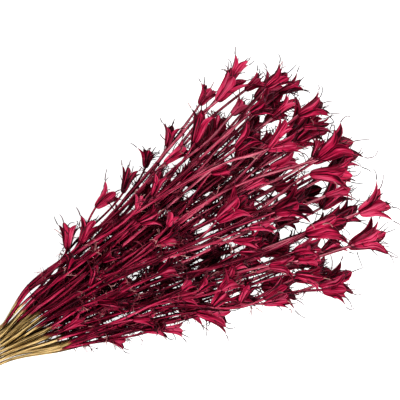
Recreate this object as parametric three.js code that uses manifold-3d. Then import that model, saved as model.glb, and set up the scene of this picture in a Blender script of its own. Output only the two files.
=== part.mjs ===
// Dried Nigella orientalis: a flat, fanned bunch of branching stems held by an elastic band.
// Each branch ends in a seed head, a trumpet of five pointed follicles.
// Millimetres, +Z up. The bunch lies on Z = 0 with its stems along +X, and +Y is up and to the
// left in the photo. It is laid out from the ground under the middle of the band. At the end
// it is moved whole, so that the origin comes under the middle of the bunch.

import * as THREE from 'three';
import { mergeVertices } from 'three/addons/utils/BufferGeometryUtils.js';
import Module from 'manifold-3d';

const wasm = await Module();
wasm.setup();

// How the photo's pixels lie in the bunch's own frame
const PIXEL = 0.67;
const BAND_PIXEL = { x: -17, y: 357 };
const AXIS_IN_PHOTO = { right: 0.8746, up: 0.4848 };

// Stems
const SPRAYS = 46;
const BRANCHES_AT_MOST = 3;
const STEM_RADIUS = 1.3;
const BRANCH_RADIUS = 1.0;
const STEM_GAP = 0.3;
const STEM_SIDES = 5;
const CUT_END = -150;
const CUT_UNEVEN = 26;
const CUT_SPREAD = 1.75;
const CUT_LIFT = 6.5;
const CUT_SWAY = 1.2;
const STEM_TAPER = 0.2;
const BRANCH_RUN = 58;
const BRANCH_RUN_SPREAD = 50;
const RUN_STEPS = 10;
const RUN_STRIDE = 7;
const LOWEST_FORK_FOR = 70;
const BRANCH_CROWDING = 6;

// Finishes
const CRIMSON = 0x7d1231;
const DRY_ROUGHNESS = 0.6;
const TAN = 0xb98a5a;
const RUBBER_ROUGHNESS = 0.55;

// The band
const BAND_THICKNESS = 2.2;
const BAND_TURN = 2.4;
const BAND_TURNS = 3;
const BAND_GROOVE = 0.7;
const BAND_CROWN = { from: 0.3, to: 0.7 };
const BAND_SEGMENTS = 24;
const NECK_REACH = 8;

// The stems' places in the band, on a close hexagonal grid
const GRID_REACH = 6;
const GRID_SHIFT = { even: 0.2, odd: 0.7 };

// The fan beyond the band: half width and half height grow along a hyperbola
const NECK = 11.2;
const WIDTH_SLOPE = 0.375;
const HEIGHT_SLOPE = 0.205;
const SAG = 0.84;
const REACH = 288;
const REACH_LOSS = 0.13;

// Seed heads: [base x, base y, mouth x, mouth y, mouth radius] in the photo's pixels, and how
// high in the bunch the head lies, from 0 at mid-height to 1 on top
const SEEN_HEADS = [
  [198, 102, 212, 86, 11, 0.1],
  [217, 101, 241, 81, 14, 0.6],
  [228, 86, 244, 59, 9, 0.35],
  [243, 86, 261, 74, 9, 0.4],
  [266, 88, 287, 73, 12, 0.65],
  [279, 93, 302, 83, 9, 0.25],
  [251, 114, 269, 104, 12, 0.9],
  [272, 118, 294, 99, 8, 0.6],
  [298, 116, 325, 104, 14, 0.55],
  [303, 128, 331, 126, 7, 0.55],
  [318, 159, 347, 138, 20, 0.95],
  [311, 156, 319, 138, 6, 0.5],
  [194, 143, 207, 115, 12, 0.8],
  [167, 147, 174, 126, 9, 0.3],
  [236, 151, 260, 136, 16, 1.0],
  [267, 149, 299, 142, 11, 0.8],
  [264, 141, 287, 119, 8, 0.9],
  [145, 168, 148, 149, 9, 0.2],
  [120, 189, 131, 168, 9, 0.2],
  [96, 210, 115, 194, 12, 0.5],
  [67, 252, 68, 224, 11, 0.3],
  [82, 247, 92, 222, 11, 0.6],
  [152, 196, 162, 173, 9, 0.95],
  [211, 173, 230, 167, 11, 0.95],
  [138, 213, 142, 197, 7, 1.0],
  [141, 225, 162, 216, 12, 1.0],
  [217, 221, 246, 199, 18, 1.0],
  [274, 211, 306, 200, 19, 1.0],
  [313, 182, 350, 175, 15, 0.95],
  [304, 231, 341, 219, 20, 1.0],
  [358, 213, 386, 200, 18, 0.6],
  [354, 245, 383, 236, 15, 0.5],
  [252, 233, 276, 228, 9, 0.95],
  [233, 241, 259, 240, 9, 0.95],
  [159, 243, 179, 236, 11, 1.0],
  [158, 273, 180, 269, 13, 1.0],
  [219, 286, 238, 276, 13, 1.0],
  [268, 264, 292, 262, 12, 0.95],
  [295, 253, 320, 248, 11, 0.85],
  [298, 280, 319, 274, 12, 0.8],
  [322, 290, 347, 288, 16, 0.4],
  [175, 300, 199, 294, 10, 1.0],
  [210, 302, 229, 295, 12, 1.0],
  [197, 314, 229, 319, 12, 0.7],
  [161, 330, 184, 329, 8, 0.4],
  [105, 340, 126, 344, 8, 0.5],
  [100, 306, 124, 300, 12, 1.0],
  [62, 331, 82, 315, 8, 1.0],
  [263, 298, 286, 280, 10, 0.95],
  [180, 182, 191, 165, 8, 0.6],
  [230, 300, 255, 296, 9, 0.8],
  [262, 301, 290, 298, 8, 0.6],
  [215, 125, 218, 112, 9, 0.5],
  [270, 168, 298, 160, 12, 0.45],
  [325, 196, 350, 188, 8, 0.5],
  [232, 115, 245, 99, 10, 0.6],
  [103, 263, 117, 253, 9, 1.0],
  [66, 272, 74, 256, 8, 1.0],
  [88, 285, 99, 268, 8, 1.0],
  [50, 333, 60, 322, 5, 1.0],
  [121, 294, 133, 284, 9, 1.0],
  [143, 330, 164, 325, 9, 0.95],
  [183, 292, 193, 280, 8, 1.0],
  [164, 163, 189, 148, 9, 0.8],
  [168, 226, 174, 211, 8, 1.0],
  [246, 190, 268, 176, 7, 0.75],
  [241, 255, 262, 252, 9, 0.85],
  [237, 272, 247, 263, 8, 0.95],
  [237, 298, 249, 279, 9, 1.0],
  [299, 262, 319, 257, 9, 0.8],
  [200, 292, 214, 282, 9, 1.0],
  [133, 320, 153, 315, 9, 1.0],
];
const LEVEL_SPAN = 0.94;
const LEVEL_HEAD = 0.2;
const HEAD_RISE = 0.35;

// One low head on each side, which the bunch rests on together with its band
const REST_HEADS = [{ x: 132, across: -0.62 }, { x: 112, across: 0.72 }];
const REST_LENGTH = 18;
const REST_FLARE = 0.5;

// Seed heads that the photo hides, under and behind the others
const HIDDEN_HEADS = 52;
const HIDDEN_TOP = 0.45;
const HIDDEN_EDGE = 0.85;
const HIDDEN_SPREAD = 0.58;
const HIDDEN_INNER = 0.3;
const HIDDEN_AIM = { outward: 0.0035, swing: 0.6, rise: 0.2, tilt: 0.4 };
const HIDDEN_SEED = 20424;
const HEAD_LENGTH = 14;
const HEAD_LENGTH_SPREAD = 8;
const HEAD_FLARE = 0.42;
const HEAD_FLARE_SPREAD = 0.16;

// The shape of a head, as shares of its length and of its mouth's radius
const CUP = { along: 0.46, keel: 0.56, valley: 0.43 };
const LOBE = { along: 0.76, keel: 0.76, edge: 0.7, groove: 0.57, spread: 0.5 };
const CUP_FLOOR = 0.12;
const LOBES = 5;

// Settling: how the bundle is packed so that nothing crosses
const STATION = 40;
const SHORTEST_STEP = 12;
const SLICE = 5;
const FIRST_SLICE = 10;
const SWEEPS = 260;
const LAST_SWEEPS = 60;
const CLEARANCE = 1.2;
const GROUND_GAP = 0.15;
const PUSH = 0.35;
const SMOOTHING = 0.12;
const STEM_RETURN = 0.006;
const SEEN_RETURN = 0.12;
const HIDDEN_RETURN = 0.015;
const SEEN_WEIGHT = 0.35;
const HEAD_SAMPLES = [0, 0.25, 0.5, 0.75, 1];
const HEAD_MARGIN = 4;
const FORK_FREE = 14;
const SWAP_GAIN = 0.01;
const TURN_SEED = 311;
const CUT_SEED = 97;
const REST_BAND = 1.5;
const DRIFT_SEED = 5112;
const DRIFT_ACROSS = 0.31;
const DRIFT_EDGE = 0.9;
const DRIFT_UP = 0.25;
const THINNER = 0.12;
const NEVER_ZERO = 1e-6;
const SAME_POINT = 1e-4;

// A repeatable draw between 0 and 1
function randomFrom(seed) {
  let state = seed;
  return () => {
    state = (state + 0x6d2b79f5) | 0;
    let mixed = Math.imul(state ^ (state >>> 15), 1 | state);
    mixed = (mixed + Math.imul(mixed ^ (mixed >>> 7), 61 | mixed)) ^ mixed;
    return ((mixed ^ (mixed >>> 14)) >>> 0) / 4294967296;
  };
}

// The fan's section at a distance along the bunch
const halfWidth = (x) => Math.sqrt(NECK * NECK + WIDTH_SLOPE * WIDTH_SLOPE * x * x);
const halfHeight = (x) => Math.sqrt(NECK * NECK + HEIGHT_SLOPE * HEIGHT_SLOPE * x * x);

// Places on the grid, the nearest to the middle first
function packedPlaces(count, spacing) {
  const rowStep = spacing * Math.sqrt(0.75);
  const places = [];
  for (let row = -GRID_REACH; row <= GRID_REACH; row++) {
    for (let column = -GRID_REACH; column <= GRID_REACH; column++) {
      const shift = row % 2 === 0 ? GRID_SHIFT.even : GRID_SHIFT.odd;
      places.push({ y: row * rowStep, z: (column + shift) * spacing });
    }
  }
  const reach = (place) => place.y * place.y + place.z * place.z;
  places.sort((p, q) => reach(p) - reach(q) || p.y - q.y || p.z - q.z);
  return places.slice(0, count);
}

const stemPlaces = packedPlaces(SPRAYS, 2 * STEM_RADIUS + STEM_GAP);
const stemsReach = Math.max(...stemPlaces.map((p) => Math.hypot(p.y, p.z))) + STEM_RADIUS;
const bandInside = (stemsReach + STEM_GAP) / Math.cos(Math.PI / BAND_SEGMENTS);
const bandOutside = bandInside + BAND_THICKNESS;
const NECK_HEIGHT = bandOutside * Math.cos(Math.PI / BAND_SEGMENTS);
const middleHeight = (x) => NECK_HEIGHT + SAG * (halfHeight(x) - NECK);

// Heads that show in the photo
function seenHeads() {
  return SEEN_HEADS.map(([baseX, baseY, mouthX, mouthY, mouth, level]) => {
    const toBunch = (px, py) => {
      const right = (px - BAND_PIXEL.x) * PIXEL;
      const up = (BAND_PIXEL.y - py) * PIXEL;
      const { right: c, up: s } = AXIS_IN_PHOTO;
      return { x: right * c + up * s, y: up * c - right * s };
    };
    const base = toBunch(baseX, baseY);
    const tip = toBunch(mouthX, mouthY);
    const across = Math.max(-1, Math.min(1, base.y / halfWidth(base.x)));
    const up = level * LEVEL_SPAN * Math.sqrt(1 - across * across);
    base.z = middleHeight(base.x) + up * halfHeight(base.x);
    tip.z = base.z + (up - LEVEL_HEAD) * HEAD_RISE * (tip.x - base.x);
    return { base, tip, across, up, mouth: mouth * PIXEL, seen: true };
  });
}

function restHeads() {
  return REST_HEADS.map(({ x, across }) => {
    const up = -Math.sqrt(1 - across * across);
    const mouth = REST_LENGTH * REST_FLARE;
    const base = { x, y: across * halfWidth(x), z: middleHeight(x) + up * halfHeight(x) };
    const step = REST_LENGTH / x;
    const tip = { x: x + REST_LENGTH, y: base.y * (1 + step), z: mouth + GROUND_GAP };
    return { base, tip, across, up, mouth, seen: true };
  });
}

// Heads drawn by rule through the rest of the bunch, fewer and nearer the outside lower down
function hiddenHeads() {
  const random = randomFrom(HIDDEN_SEED);
  const heads = [];
  while (heads.length < HIDDEN_HEADS) {
    const across = 2 * random() - 1;
    const up = 2 * random() - 1;
    const early = random();
    const swing = random() - 0.5;
    const tilt = random() - 0.5;
    const size = random();
    const flare = random();
    const out = across * across + up * up;
    if (out > 1 || up > HIDDEN_TOP || Math.abs(across) > HIDDEN_EDGE) continue;
    const heldBack = HIDDEN_SPREAD * early * (HIDDEN_INNER + (1 - HIDDEN_INNER) * out);
    const reach = REACH * (1 - REACH_LOSS * out) * (1 - heldBack);
    const length = HEAD_LENGTH + HEAD_LENGTH_SPREAD * size;
    const x = reach - length;
    const ahead = {
      y: across * halfWidth(x) * HIDDEN_AIM.outward + swing * HIDDEN_AIM.swing,
      z: up * HIDDEN_AIM.rise + tilt * HIDDEN_AIM.tilt,
    };
    const step = length / Math.sqrt(1 + ahead.y * ahead.y + ahead.z * ahead.z);
    const base = { x, y: across * halfWidth(x), z: middleHeight(x) + up * halfHeight(x) };
    const tip = { x: x + step, y: base.y + step * ahead.y, z: base.z + step * ahead.z };
    const mouth = length * (HEAD_FLARE + HEAD_FLARE_SPREAD * flare);
    heads.push({ base, tip, across, up, mouth, seen: false });
  }
  return heads;
}

// Sprays: the heads that reach furthest end the main stems, and each other head is given to
// the main stem that passes nearest to where its branch would leave
function sprayPlan() {
  const heads = [...seenHeads(), ...restHeads(), ...hiddenHeads()];
  const random = randomFrom(DRIFT_SEED);
  heads.forEach((head) => {
    head.driftAcross = DRIFT_ACROSS * (2 * random() - 1);
    head.driftUp = DRIFT_UP * (2 * random() - 1);
    head.thickness = 1 - THINNER * random();
  });
  heads.sort((p, q) => q.base.x - p.base.x);
  const mains = heads.slice(0, SPRAYS).map((head) => ({ head, branches: [] }));
  heads.slice(SPRAYS).forEach((head, index) => {
    const run = BRANCH_RUN + BRANCH_RUN_SPREAD * ((index * RUN_STRIDE) % RUN_STEPS) / RUN_STEPS;
    const lowest = head.base.x < LOWEST_FORK_FOR ? 0 : 1;
    const fork = Math.max(lowest, Math.round((head.base.x - run - NECK_REACH) / STATION));
    const forkX = NECK_REACH + fork * STATION;
    const nearness = (main) => {
      const taken = main.branches.some((branch) => branch.fork === fork);
      if (main.branches.length >= BRANCHES_AT_MOST || taken) return Infinity;
      const dy = (main.head.across - head.across) * halfWidth(forkX);
      const dz = (main.head.up - head.up) * halfHeight(forkX);
      return dy * dy + dz * dz + BRANCH_CROWDING * main.branches.length;
    };
    const best = mains.reduce((p, q) => (nearness(q) < nearness(p) ? q : p));
    best.branches.push({ head, fork });
  });
  return mains;
}

// Where a stem would like to run: it starts some way off its head's own direction, so that
// stems cross above and below each other as they do in a bunch tied by hand
function stemGoal(head, x) {
  const left = 1 - x / head.base.x;
  const across = head.across + head.driftAcross * left;
  const up = head.up + head.driftUp * left;
  const edge = Math.max(DRIFT_EDGE, Math.sqrt(head.across * head.across + head.up * head.up));
  const out = Math.max(1, Math.sqrt(across * across + up * up) / edge);
  return {
    y: (across / out) * halfWidth(x),
    z: middleHeight(x) + (up / out) * halfHeight(x),
  };
}

// Main stems take their places in the band in the order in which they fan out: two stems
// change places wherever that brings both nearer to where they go, until none would
function shareNeckPlaces(mains) {
  const x = NECK_REACH + STATION;
  mains.forEach((main, index) => {
    main.place = stemPlaces[index];
    main.towards = stemGoal(main.head, x);
  });
  let changed = true;
  while (changed) {
    changed = false;
    mains.forEach((one, index) => {
      mains.slice(index + 1).forEach((other) => {
        const dy = (one.towards.y - other.towards.y) * (one.place.y - other.place.y);
        const dz = (one.towards.z - other.towards.z) * (one.place.z - other.place.z);
        if (dy + dz > -SWAP_GAIN) return;
        [one.place, other.place] = [other.place, one.place];
        changed = true;
      });
    });
  }
}

// A line runs from the band or a fork to a head: stations every few centimetres, then the
// head's base and mouth. A branch shares its first station with its main stem.
function stationAt(x, y, z, settings) {
  return { x, y, z, goalY: y, goalZ: z, moveY: 0, moveZ: 0, ...settings };
}

function lineOf(head, root, radius) {
  const stations = [root];
  for (let x = root.x + STATION; x < head.base.x - SHORTEST_STEP; x += STATION) {
    const { y, z } = stemGoal(head, x);
    stations.push(stationAt(x, y, z, { pull: STEM_RETURN, weight: 1 }));
  }
  const baseAt = stations.length;
  const pull = head.seen ? SEEN_RETURN : HIDDEN_RETURN;
  const weight = head.seen ? SEEN_WEIGHT : 1;
  [head.base, head.tip].forEach(({ x, y, z }) => {
    stations.push(stationAt(x, y, z, { pull, weight }));
  });
  return { head, radius, stations, baseAt };
}

function layLines(mains) {
  const lines = [];
  mains.forEach((main) => {
    const { y, z } = main.place;
    const foot = stationAt(NECK_REACH, y, NECK_HEIGHT + z, { pull: 0, weight: 0, fixed: true });
    const stem = lineOf(main.head, foot, STEM_RADIUS * main.head.thickness);
    stem.main = stem;
    main.line = stem;
    lines.push(stem);
    main.branches.forEach((branch) => {
      branch.fork = Math.min(branch.fork, stem.baseAt - 1);
      const root = stem.stations[branch.fork];
      branch.line = lineOf(branch.head, root, BRANCH_RADIUS * branch.head.thickness);
      branch.line.main = stem;
      branch.line.forkX = stem.stations[branch.fork].x;
      lines.push(branch.line);
    });
  });
  return lines;
}

// A sample is a point between two neighbouring stations of a line, with its own thickness
function sampleOn(line, index, share, radius) {
  return { line, p: line.stations[index], q: line.stations[index + 1], share, radius };
}

function place(sample) {
  const { p, q, share } = sample;
  sample.x = p.x + (q.x - p.x) * share;
  sample.y = p.y + (q.y - p.y) * share;
  sample.z = p.z + (q.z - p.z) * share;
}

function shove(sample, dy, dz) {
  const { p, q, share } = sample;
  const near = 1 - share;
  const even = near * near + share * share;
  p.moveY += dy * near / even;
  p.moveZ += dz * near / even;
  q.moveY += dy * share / even;
  q.moveZ += dz * share / even;
}

function part(one, other, dy, dz) {
  const oneWeight = one.p.weight * (1 - one.share) + one.q.weight * one.share;
  const otherWeight = other.p.weight * (1 - other.share) + other.q.weight * other.share;
  const whole = oneWeight + otherWeight;
  if (whole === 0) return;
  shove(one, -dy * oneWeight / whole, -dz * oneWeight / whole);
  shove(other, dy * otherWeight / whole, dz * otherWeight / whole);
}

// Stem samples slice by slice, and a few samples along each head
function samplesOf(lines) {
  const slices = [];
  const furthest = Math.max(...lines.map((line) => line.head.base.x));
  for (let x = FIRST_SLICE; x < furthest; x += SLICE) {
    const slice = [];
    lines.forEach((line) => {
      if (x <= line.stations[0].x || x >= line.stations[line.baseAt].x) return;
      const index = line.stations.findIndex((s) => s.x > x) - 1;
      const from = line.stations[index];
      const share = (x - from.x) / (line.stations[index + 1].x - from.x);
      slice.push(sampleOn(line, index, share, line.radius));
    });
    slices.push(slice);
  }
  const heads = lines.map((line) => HEAD_SAMPLES.map((share) =>
    sampleOn(line, line.baseAt, share, headRadius(share, line))));
  return { slices, heads };
}

// How wide a head is at a share of its length
function headRadius(share, line) {
  const cup = CUP.keel * line.head.mouth;
  if (share < CUP.along) {
    const grown = Math.max(0, share) / CUP.along;
    return line.radius + (cup - line.radius) * grown;
  }
  const grown = Math.min(1, (share - CUP.along) / (1 - CUP.along));
  return cup + (line.head.mouth - cup) * grown;
}

// Two stems of one spray may touch where the branch leaves
function joinedNearby(one, other, x) {
  if (one.main !== other.main) return false;
  return x < Math.max(one.forkX ?? 0, other.forkX ?? 0) + FORK_FREE;
}

function separateStems(slice) {
  slice.forEach((one, index) => {
    for (let k = index + 1; k < slice.length; k++) {
      const other = slice[k];
      const need = one.radius + other.radius + CLEARANCE;
      const dy = other.y - one.y;
      const dz = other.z - one.z;
      const gap = dy * dy + dz * dz;
      if (gap >= need * need || joinedNearby(one.line, other.line, one.x)) continue;
      const distance = Math.sqrt(gap) + NEVER_ZERO;
      const amount = PUSH * (need - distance) / distance;
      part(one, other, dy * amount, dz * amount);
    }
  });
}

// A head clears what lies beside its cone
function clearHead(line, samples) {
  const base = line.stations[line.baseAt];
  const tip = line.stations[line.baseAt + 1];
  const ux = tip.x - base.x;
  const uy = tip.y - base.y;
  const uz = tip.z - base.z;
  const length = Math.sqrt(ux * ux + uy * uy + uz * uz);
  const reach = length + line.head.mouth + HEAD_MARGIN;
  samples.forEach((sample) => {
    const vx = sample.x - base.x;
    const vy = sample.y - base.y;
    const vz = sample.z - base.z;
    if (Math.abs(vx) > reach || Math.abs(vy) > reach || Math.abs(vz) > reach) return;
    if (sample.line === line) return;
    const share = (vx * ux + vy * uy + vz * uz) / (length * length);
    const slack = sample.radius / length;
    if (share < -slack || share > 1 + slack) return;
    if (joinedNearby(sample.line, line, sample.x)) return;
    const rx = vx - share * ux;
    const ry = vy - share * uy;
    const rz = vz - share * uz;
    const distance = Math.sqrt(rx * rx + ry * ry + rz * rz) + NEVER_ZERO;
    const need = headRadius(share, line) + sample.radius + CLEARANCE;
    if (distance >= need) return;
    const amount = PUSH * (need - distance) / distance;
    const own = sampleOn(line, line.baseAt, Math.max(0, Math.min(1, share)), 0);
    part(own, sample, ry * amount, rz * amount);
  });
}

function keepAboveGround(line) {
  line.stations.forEach((station, index) => {
    const mouth = index > line.baseAt ? line.head.mouth : line.radius;
    const low = mouth + GROUND_GAP - station.z;
    if (low > 0) station.moveZ += low;
  });
}

function smooth(line, easing) {
  for (let i = 1; i < line.baseAt; i++) {
    const before = line.stations[i - 1];
    const here = line.stations[i];
    const after = line.stations[i + 1];
    const share = (here.x - before.x) / (after.x - before.x);
    here.moveY += SMOOTHING * easing * (before.y + (after.y - before.y) * share - here.y);
    here.moveZ += SMOOTHING * easing * (before.z + (after.z - before.z) * share - here.z);
  }
}

function settle(lines) {
  const { slices, heads } = samplesOf(lines);
  const stations = [...new Set(lines.flatMap((line) => line.stations))];
  const samples = [...slices.flat(), ...heads.flat()];
  for (let sweep = 0; sweep < SWEEPS; sweep++) {
    samples.forEach(place);
    slices.forEach(separateStems);
    lines.forEach((line) => clearHead(line, samples));
    const easing = Math.min(1, (SWEEPS - 1 - sweep) / LAST_SWEEPS);
    lines.forEach((line) => smooth(line, easing));
    lines.forEach(keepAboveGround);
    stations.forEach((station) => {
      if (!station.fixed) {
        const pull = station.pull * easing;
        station.y += station.moveY + pull * (station.goalY - station.y);
        station.z += station.moveZ + pull * (station.goalZ - station.z);
      }
      station.moveY = 0;
      station.moveZ = 0;
    });
  }
}

// A closed solid gathered from points and triangles
class Solid {
  constructor() {
    this.points = [];
    this.faces = [];
  }

  point(p) {
    this.points.push(p.x, p.y, p.z);
    return this.points.length / 3 - 1;
  }

  face(a, b, c) {
    this.faces.push(a, b, c);
  }

  // A band of faces between two rings with the same number of points
  join(lower, upper) {
    lower.forEach((here, i) => {
      const next = (i + 1) % lower.length;
      this.face(here, lower[next], upper[next]);
      this.face(here, upper[next], upper[i]);
    });
  }

  close(ring) {
    for (let i = 1; i < ring.length - 1; i++) this.face(ring[0], ring[i + 1], ring[i]);
  }

  geometry() {
    const geometry = new THREE.BufferGeometry();
    geometry.setAttribute('position', new THREE.Float32BufferAttribute(this.points, 3));
    geometry.setIndex(this.faces);
    return geometry;
  }
}

// Directions across a stem that runs along a direction: to its side and up
function acrossFrom(along) {
  const side = new THREE.Vector3(0, 0, 1).cross(along).normalize();
  return { side, up: along.clone().cross(side) };
}

function onCircle(centre, frame, radius, angle) {
  return centre.clone()
    .addScaledVector(frame.up, radius * Math.cos(angle))
    .addScaledVector(frame.side, -radius * Math.sin(angle));
}

function ringPoints(solid, centre, frame, radius, turn) {
  return Array.from({ length: STEM_SIDES }, (_, i) => {
    const angle = turn + (2 * Math.PI * i) / STEM_SIDES;
    return solid.point(onCircle(centre, frame, radius, angle));
  });
}

// A seed head grown on the last ring of its stem: a fluted cup that opens into pointed lobes
function growHead(solid, baseRing, base, mouthCentre, frame, mouth, turn) {
  const at = (share, radius, angle) => {
    const centre = base.clone().lerp(mouthCentre, share);
    return solid.point(onCircle(centre, frame, radius * mouth, angle));
  };
  const step = (2 * Math.PI) / LOBES;
  const angles = baseRing.map((_, i) => turn + i * step);
  const keels = angles.map((angle) => at(CUP.along, CUP.keel, angle));
  const valleys = angles.map((angle) => at(CUP.along, CUP.valley, angle + step / 2));
  const floor = at(CUP_FLOOR, 0, 0);
  baseRing.forEach((here, i) => {
    const next = (i + 1) % LOBES;
    solid.face(here, valleys[i], keels[i]);
    solid.face(here, baseRing[next], valleys[i]);
    solid.face(baseRing[next], keels[next], valleys[i]);
  });
  angles.forEach((angle, i) => {
    const before = valleys[(i + LOBES - 1) % LOBES];
    const after = valleys[i];
    const keel = at(LOBE.along, LOBE.keel, angle);
    const left = at(LOBE.along, LOBE.edge, angle - LOBE.spread);
    const right = at(LOBE.along, LOBE.edge, angle + LOBE.spread);
    const groove = at(LOBE.along, LOBE.groove, angle);
    const tip = at(1, 1, angle);
    solid.face(before, keels[i], keel);
    solid.face(before, keel, left);
    solid.face(keels[i], after, right);
    solid.face(keels[i], right, keel);
    solid.face(left, keel, tip);
    solid.face(keel, right, tip);
    solid.face(left, tip, groove);
    solid.face(groove, tip, right);
    solid.face(before, left, groove);
    solid.face(before, groove, floor);
    solid.face(groove, right, after);
    solid.face(groove, after, floor);
  });
}

const vector = ({ x, y, z }) => new THREE.Vector3(x, y, z);

// The part of a main stem behind the band: straight to its cut end, spreading a little
function cutEnd(place, random) {
  const x = CUT_END + CUT_UNEVEN * (random() - 0.5);
  const grown = 1 + (CUT_SPREAD - 1) * x / CUT_END;
  const y = place.y * grown + CUT_SWAY * (random() - 0.5);
  const z = NECK_HEIGHT + CUT_LIFT * x / CUT_END + place.z * grown + CUT_SWAY * (random() - 0.5);
  return { x, y, z: Math.max(z, STEM_RADIUS + GROUND_GAP) };
}

function lineSolid(line, tail) {
  const solid = new Solid();
  const centres = [...tail, ...line.stations].map(vector);
  const last = centres.length - 1;
  const headAlong = centres[last].clone().sub(centres[last - 1]).normalize();
  let ring = null;
  for (let i = 0; i < last; i++) {
    const before = centres[Math.max(0, i - 1)];
    const after = centres[Math.min(last - 1, i + 1)];
    const along = i === last - 1 ? headAlong : after.clone().sub(before).normalize();
    const share = i / (last - 1);
    const radius = line.radius * (1 - STEM_TAPER * share);
    const turn = i === last - 1 ? line.turn : 0;
    const next = ringPoints(solid, centres[i], acrossFrom(along), radius, turn);
    if (ring) solid.join(ring, next);
    else solid.close(next);
    ring = next;
  }
  const frame = acrossFrom(headAlong);
  growHead(solid, ring, centres[last - 1], centres[last], frame, line.head.mouth, line.turn);
  return solid.geometry();
}

// Lowest heads point one lobe straight down, so that the bunch rests on their tips
function turnHeads(lines) {
  const random = randomFrom(TURN_SEED);
  lines.forEach((line) => {
    const free = (random() - 0.5) * (2 * Math.PI) / LOBES;
    const tip = line.stations[line.baseAt + 1];
    const resting = tip.z < line.head.mouth + REST_BAND;
    line.turn = resting ? -Math.PI / LOBES : free;
  });
}

function toManifold(geometry) {
  const merged = mergeVertices(geometry, SAME_POINT);
  return new wasm.Manifold(new wasm.Mesh({
    numProp: 3,
    vertProperties: new Float32Array(merged.attributes.position.array),
    triVerts: new Uint32Array(merged.index.array),
  }));
}

function fromManifold(manifold) {
  const { vertProperties, triVerts } = manifold.getMesh();
  const geometry = new THREE.BufferGeometry();
  geometry.setAttribute('position', new THREE.BufferAttribute(vertProperties, 3));
  geometry.setIndex(new THREE.BufferAttribute(triVerts, 1));
  return geometry;
}

function sprayGeometry(main, random) {
  const cut = cutEnd(main.place, random);
  const inBand = { x: -NECK_REACH, y: main.place.y, z: NECK_HEIGHT + main.place.z };
  const stem = toManifold(lineSolid(main.line, [cut, inBand]));
  const whole = main.branches.reduce(
    (grown, branch) => grown.add(toManifold(lineSolid(branch.line, []))),
    stem,
  );
  return fromManifold(whole);
}

// The band: a few round turns of elastic side by side, flat against the stems
function bandGeometry() {
  const width = BAND_TURNS * BAND_TURN;
  const crown = bandInside + BAND_THICKNESS;
  const groove = bandInside + BAND_THICKNESS * BAND_GROOVE;
  const profile = [new THREE.Vector2(bandInside, width / 2), new THREE.Vector2(bandInside, -width / 2)];
  for (let turn = 0; turn < BAND_TURNS; turn++) {
    const edge = -width / 2 + turn * BAND_TURN;
    profile.push(new THREE.Vector2(groove, edge));
    profile.push(new THREE.Vector2(crown, edge + BAND_CROWN.from * BAND_TURN));
    profile.push(new THREE.Vector2(crown, edge + BAND_CROWN.to * BAND_TURN));
  }
  profile.push(new THREE.Vector2(groove, width / 2), profile[0].clone());
  const geometry = new THREE.LatheGeometry(profile, BAND_SEGMENTS, Math.PI / BAND_SEGMENTS);
  geometry.deleteAttribute('normal');
  geometry.deleteAttribute('uv');
  return mergeVertices(geometry, SAME_POINT);
}

// Every spray has the same dry surface
function drySurface() {
  return new THREE.MeshStandardMaterial({ color: CRIMSON, roughness: DRY_ROUGHNESS, metalness: 0 });
}

function rubber() {
  return new THREE.MeshStandardMaterial({ color: TAN, roughness: RUBBER_ROUGHNESS, metalness: 0 });
}

const bunch = new THREE.Group();
const mains = sprayPlan();
shareNeckPlaces(mains);
const lines = layLines(mains);
settle(lines);
turnHeads(lines);

const cutDraw = randomFrom(CUT_SEED);
mains.forEach((main, index) => {
  const spray = new THREE.Mesh(sprayGeometry(main, cutDraw), drySurface());
  spray.name = `spray_${String(index + 1).padStart(2, '0')}`;
  bunch.add(spray);
});

const band = new THREE.Mesh(bandGeometry(), rubber());
band.name = 'band';
band.rotation.z = -Math.PI / 2;
band.position.z = NECK_HEIGHT;
bunch.add(band);

const whole = new THREE.Box3().setFromObject(bunch);
const middle = whole.getCenter(new THREE.Vector3());
bunch.position.set(-middle.x, -middle.y, -whole.min.z);

export default bunch;
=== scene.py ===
# Looks of a dried Nigella orientalis bunch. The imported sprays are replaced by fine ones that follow
# the same stems and seed heads, with their ribs, styles, thread leaves, dye and dry texture added.

import math
from dataclasses import dataclass
from itertools import combinations

import bpy
import numpy as np
from mathutils import Matrix, Vector


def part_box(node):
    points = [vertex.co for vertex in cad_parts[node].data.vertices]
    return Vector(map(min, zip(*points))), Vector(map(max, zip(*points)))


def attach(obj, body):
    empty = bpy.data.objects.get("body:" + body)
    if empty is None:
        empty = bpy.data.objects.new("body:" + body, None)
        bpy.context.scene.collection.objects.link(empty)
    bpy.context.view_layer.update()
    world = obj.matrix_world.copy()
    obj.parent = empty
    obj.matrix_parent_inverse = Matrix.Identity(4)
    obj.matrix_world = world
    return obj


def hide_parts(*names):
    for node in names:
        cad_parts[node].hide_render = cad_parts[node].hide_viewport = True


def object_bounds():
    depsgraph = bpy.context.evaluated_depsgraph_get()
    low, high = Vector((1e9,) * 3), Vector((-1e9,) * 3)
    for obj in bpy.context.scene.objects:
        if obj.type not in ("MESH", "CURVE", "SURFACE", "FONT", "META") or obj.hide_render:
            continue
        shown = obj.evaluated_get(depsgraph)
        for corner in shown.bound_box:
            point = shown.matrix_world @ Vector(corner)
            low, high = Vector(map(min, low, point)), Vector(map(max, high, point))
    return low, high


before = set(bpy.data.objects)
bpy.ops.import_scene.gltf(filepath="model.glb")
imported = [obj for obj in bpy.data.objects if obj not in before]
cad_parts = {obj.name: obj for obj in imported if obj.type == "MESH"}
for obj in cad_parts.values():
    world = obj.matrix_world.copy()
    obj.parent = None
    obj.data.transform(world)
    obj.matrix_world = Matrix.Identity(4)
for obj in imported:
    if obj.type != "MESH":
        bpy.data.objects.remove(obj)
cad_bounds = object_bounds()

# Everything is laid out in millimetres from the ground under the middle of the band
METRE = 0.001

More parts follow.
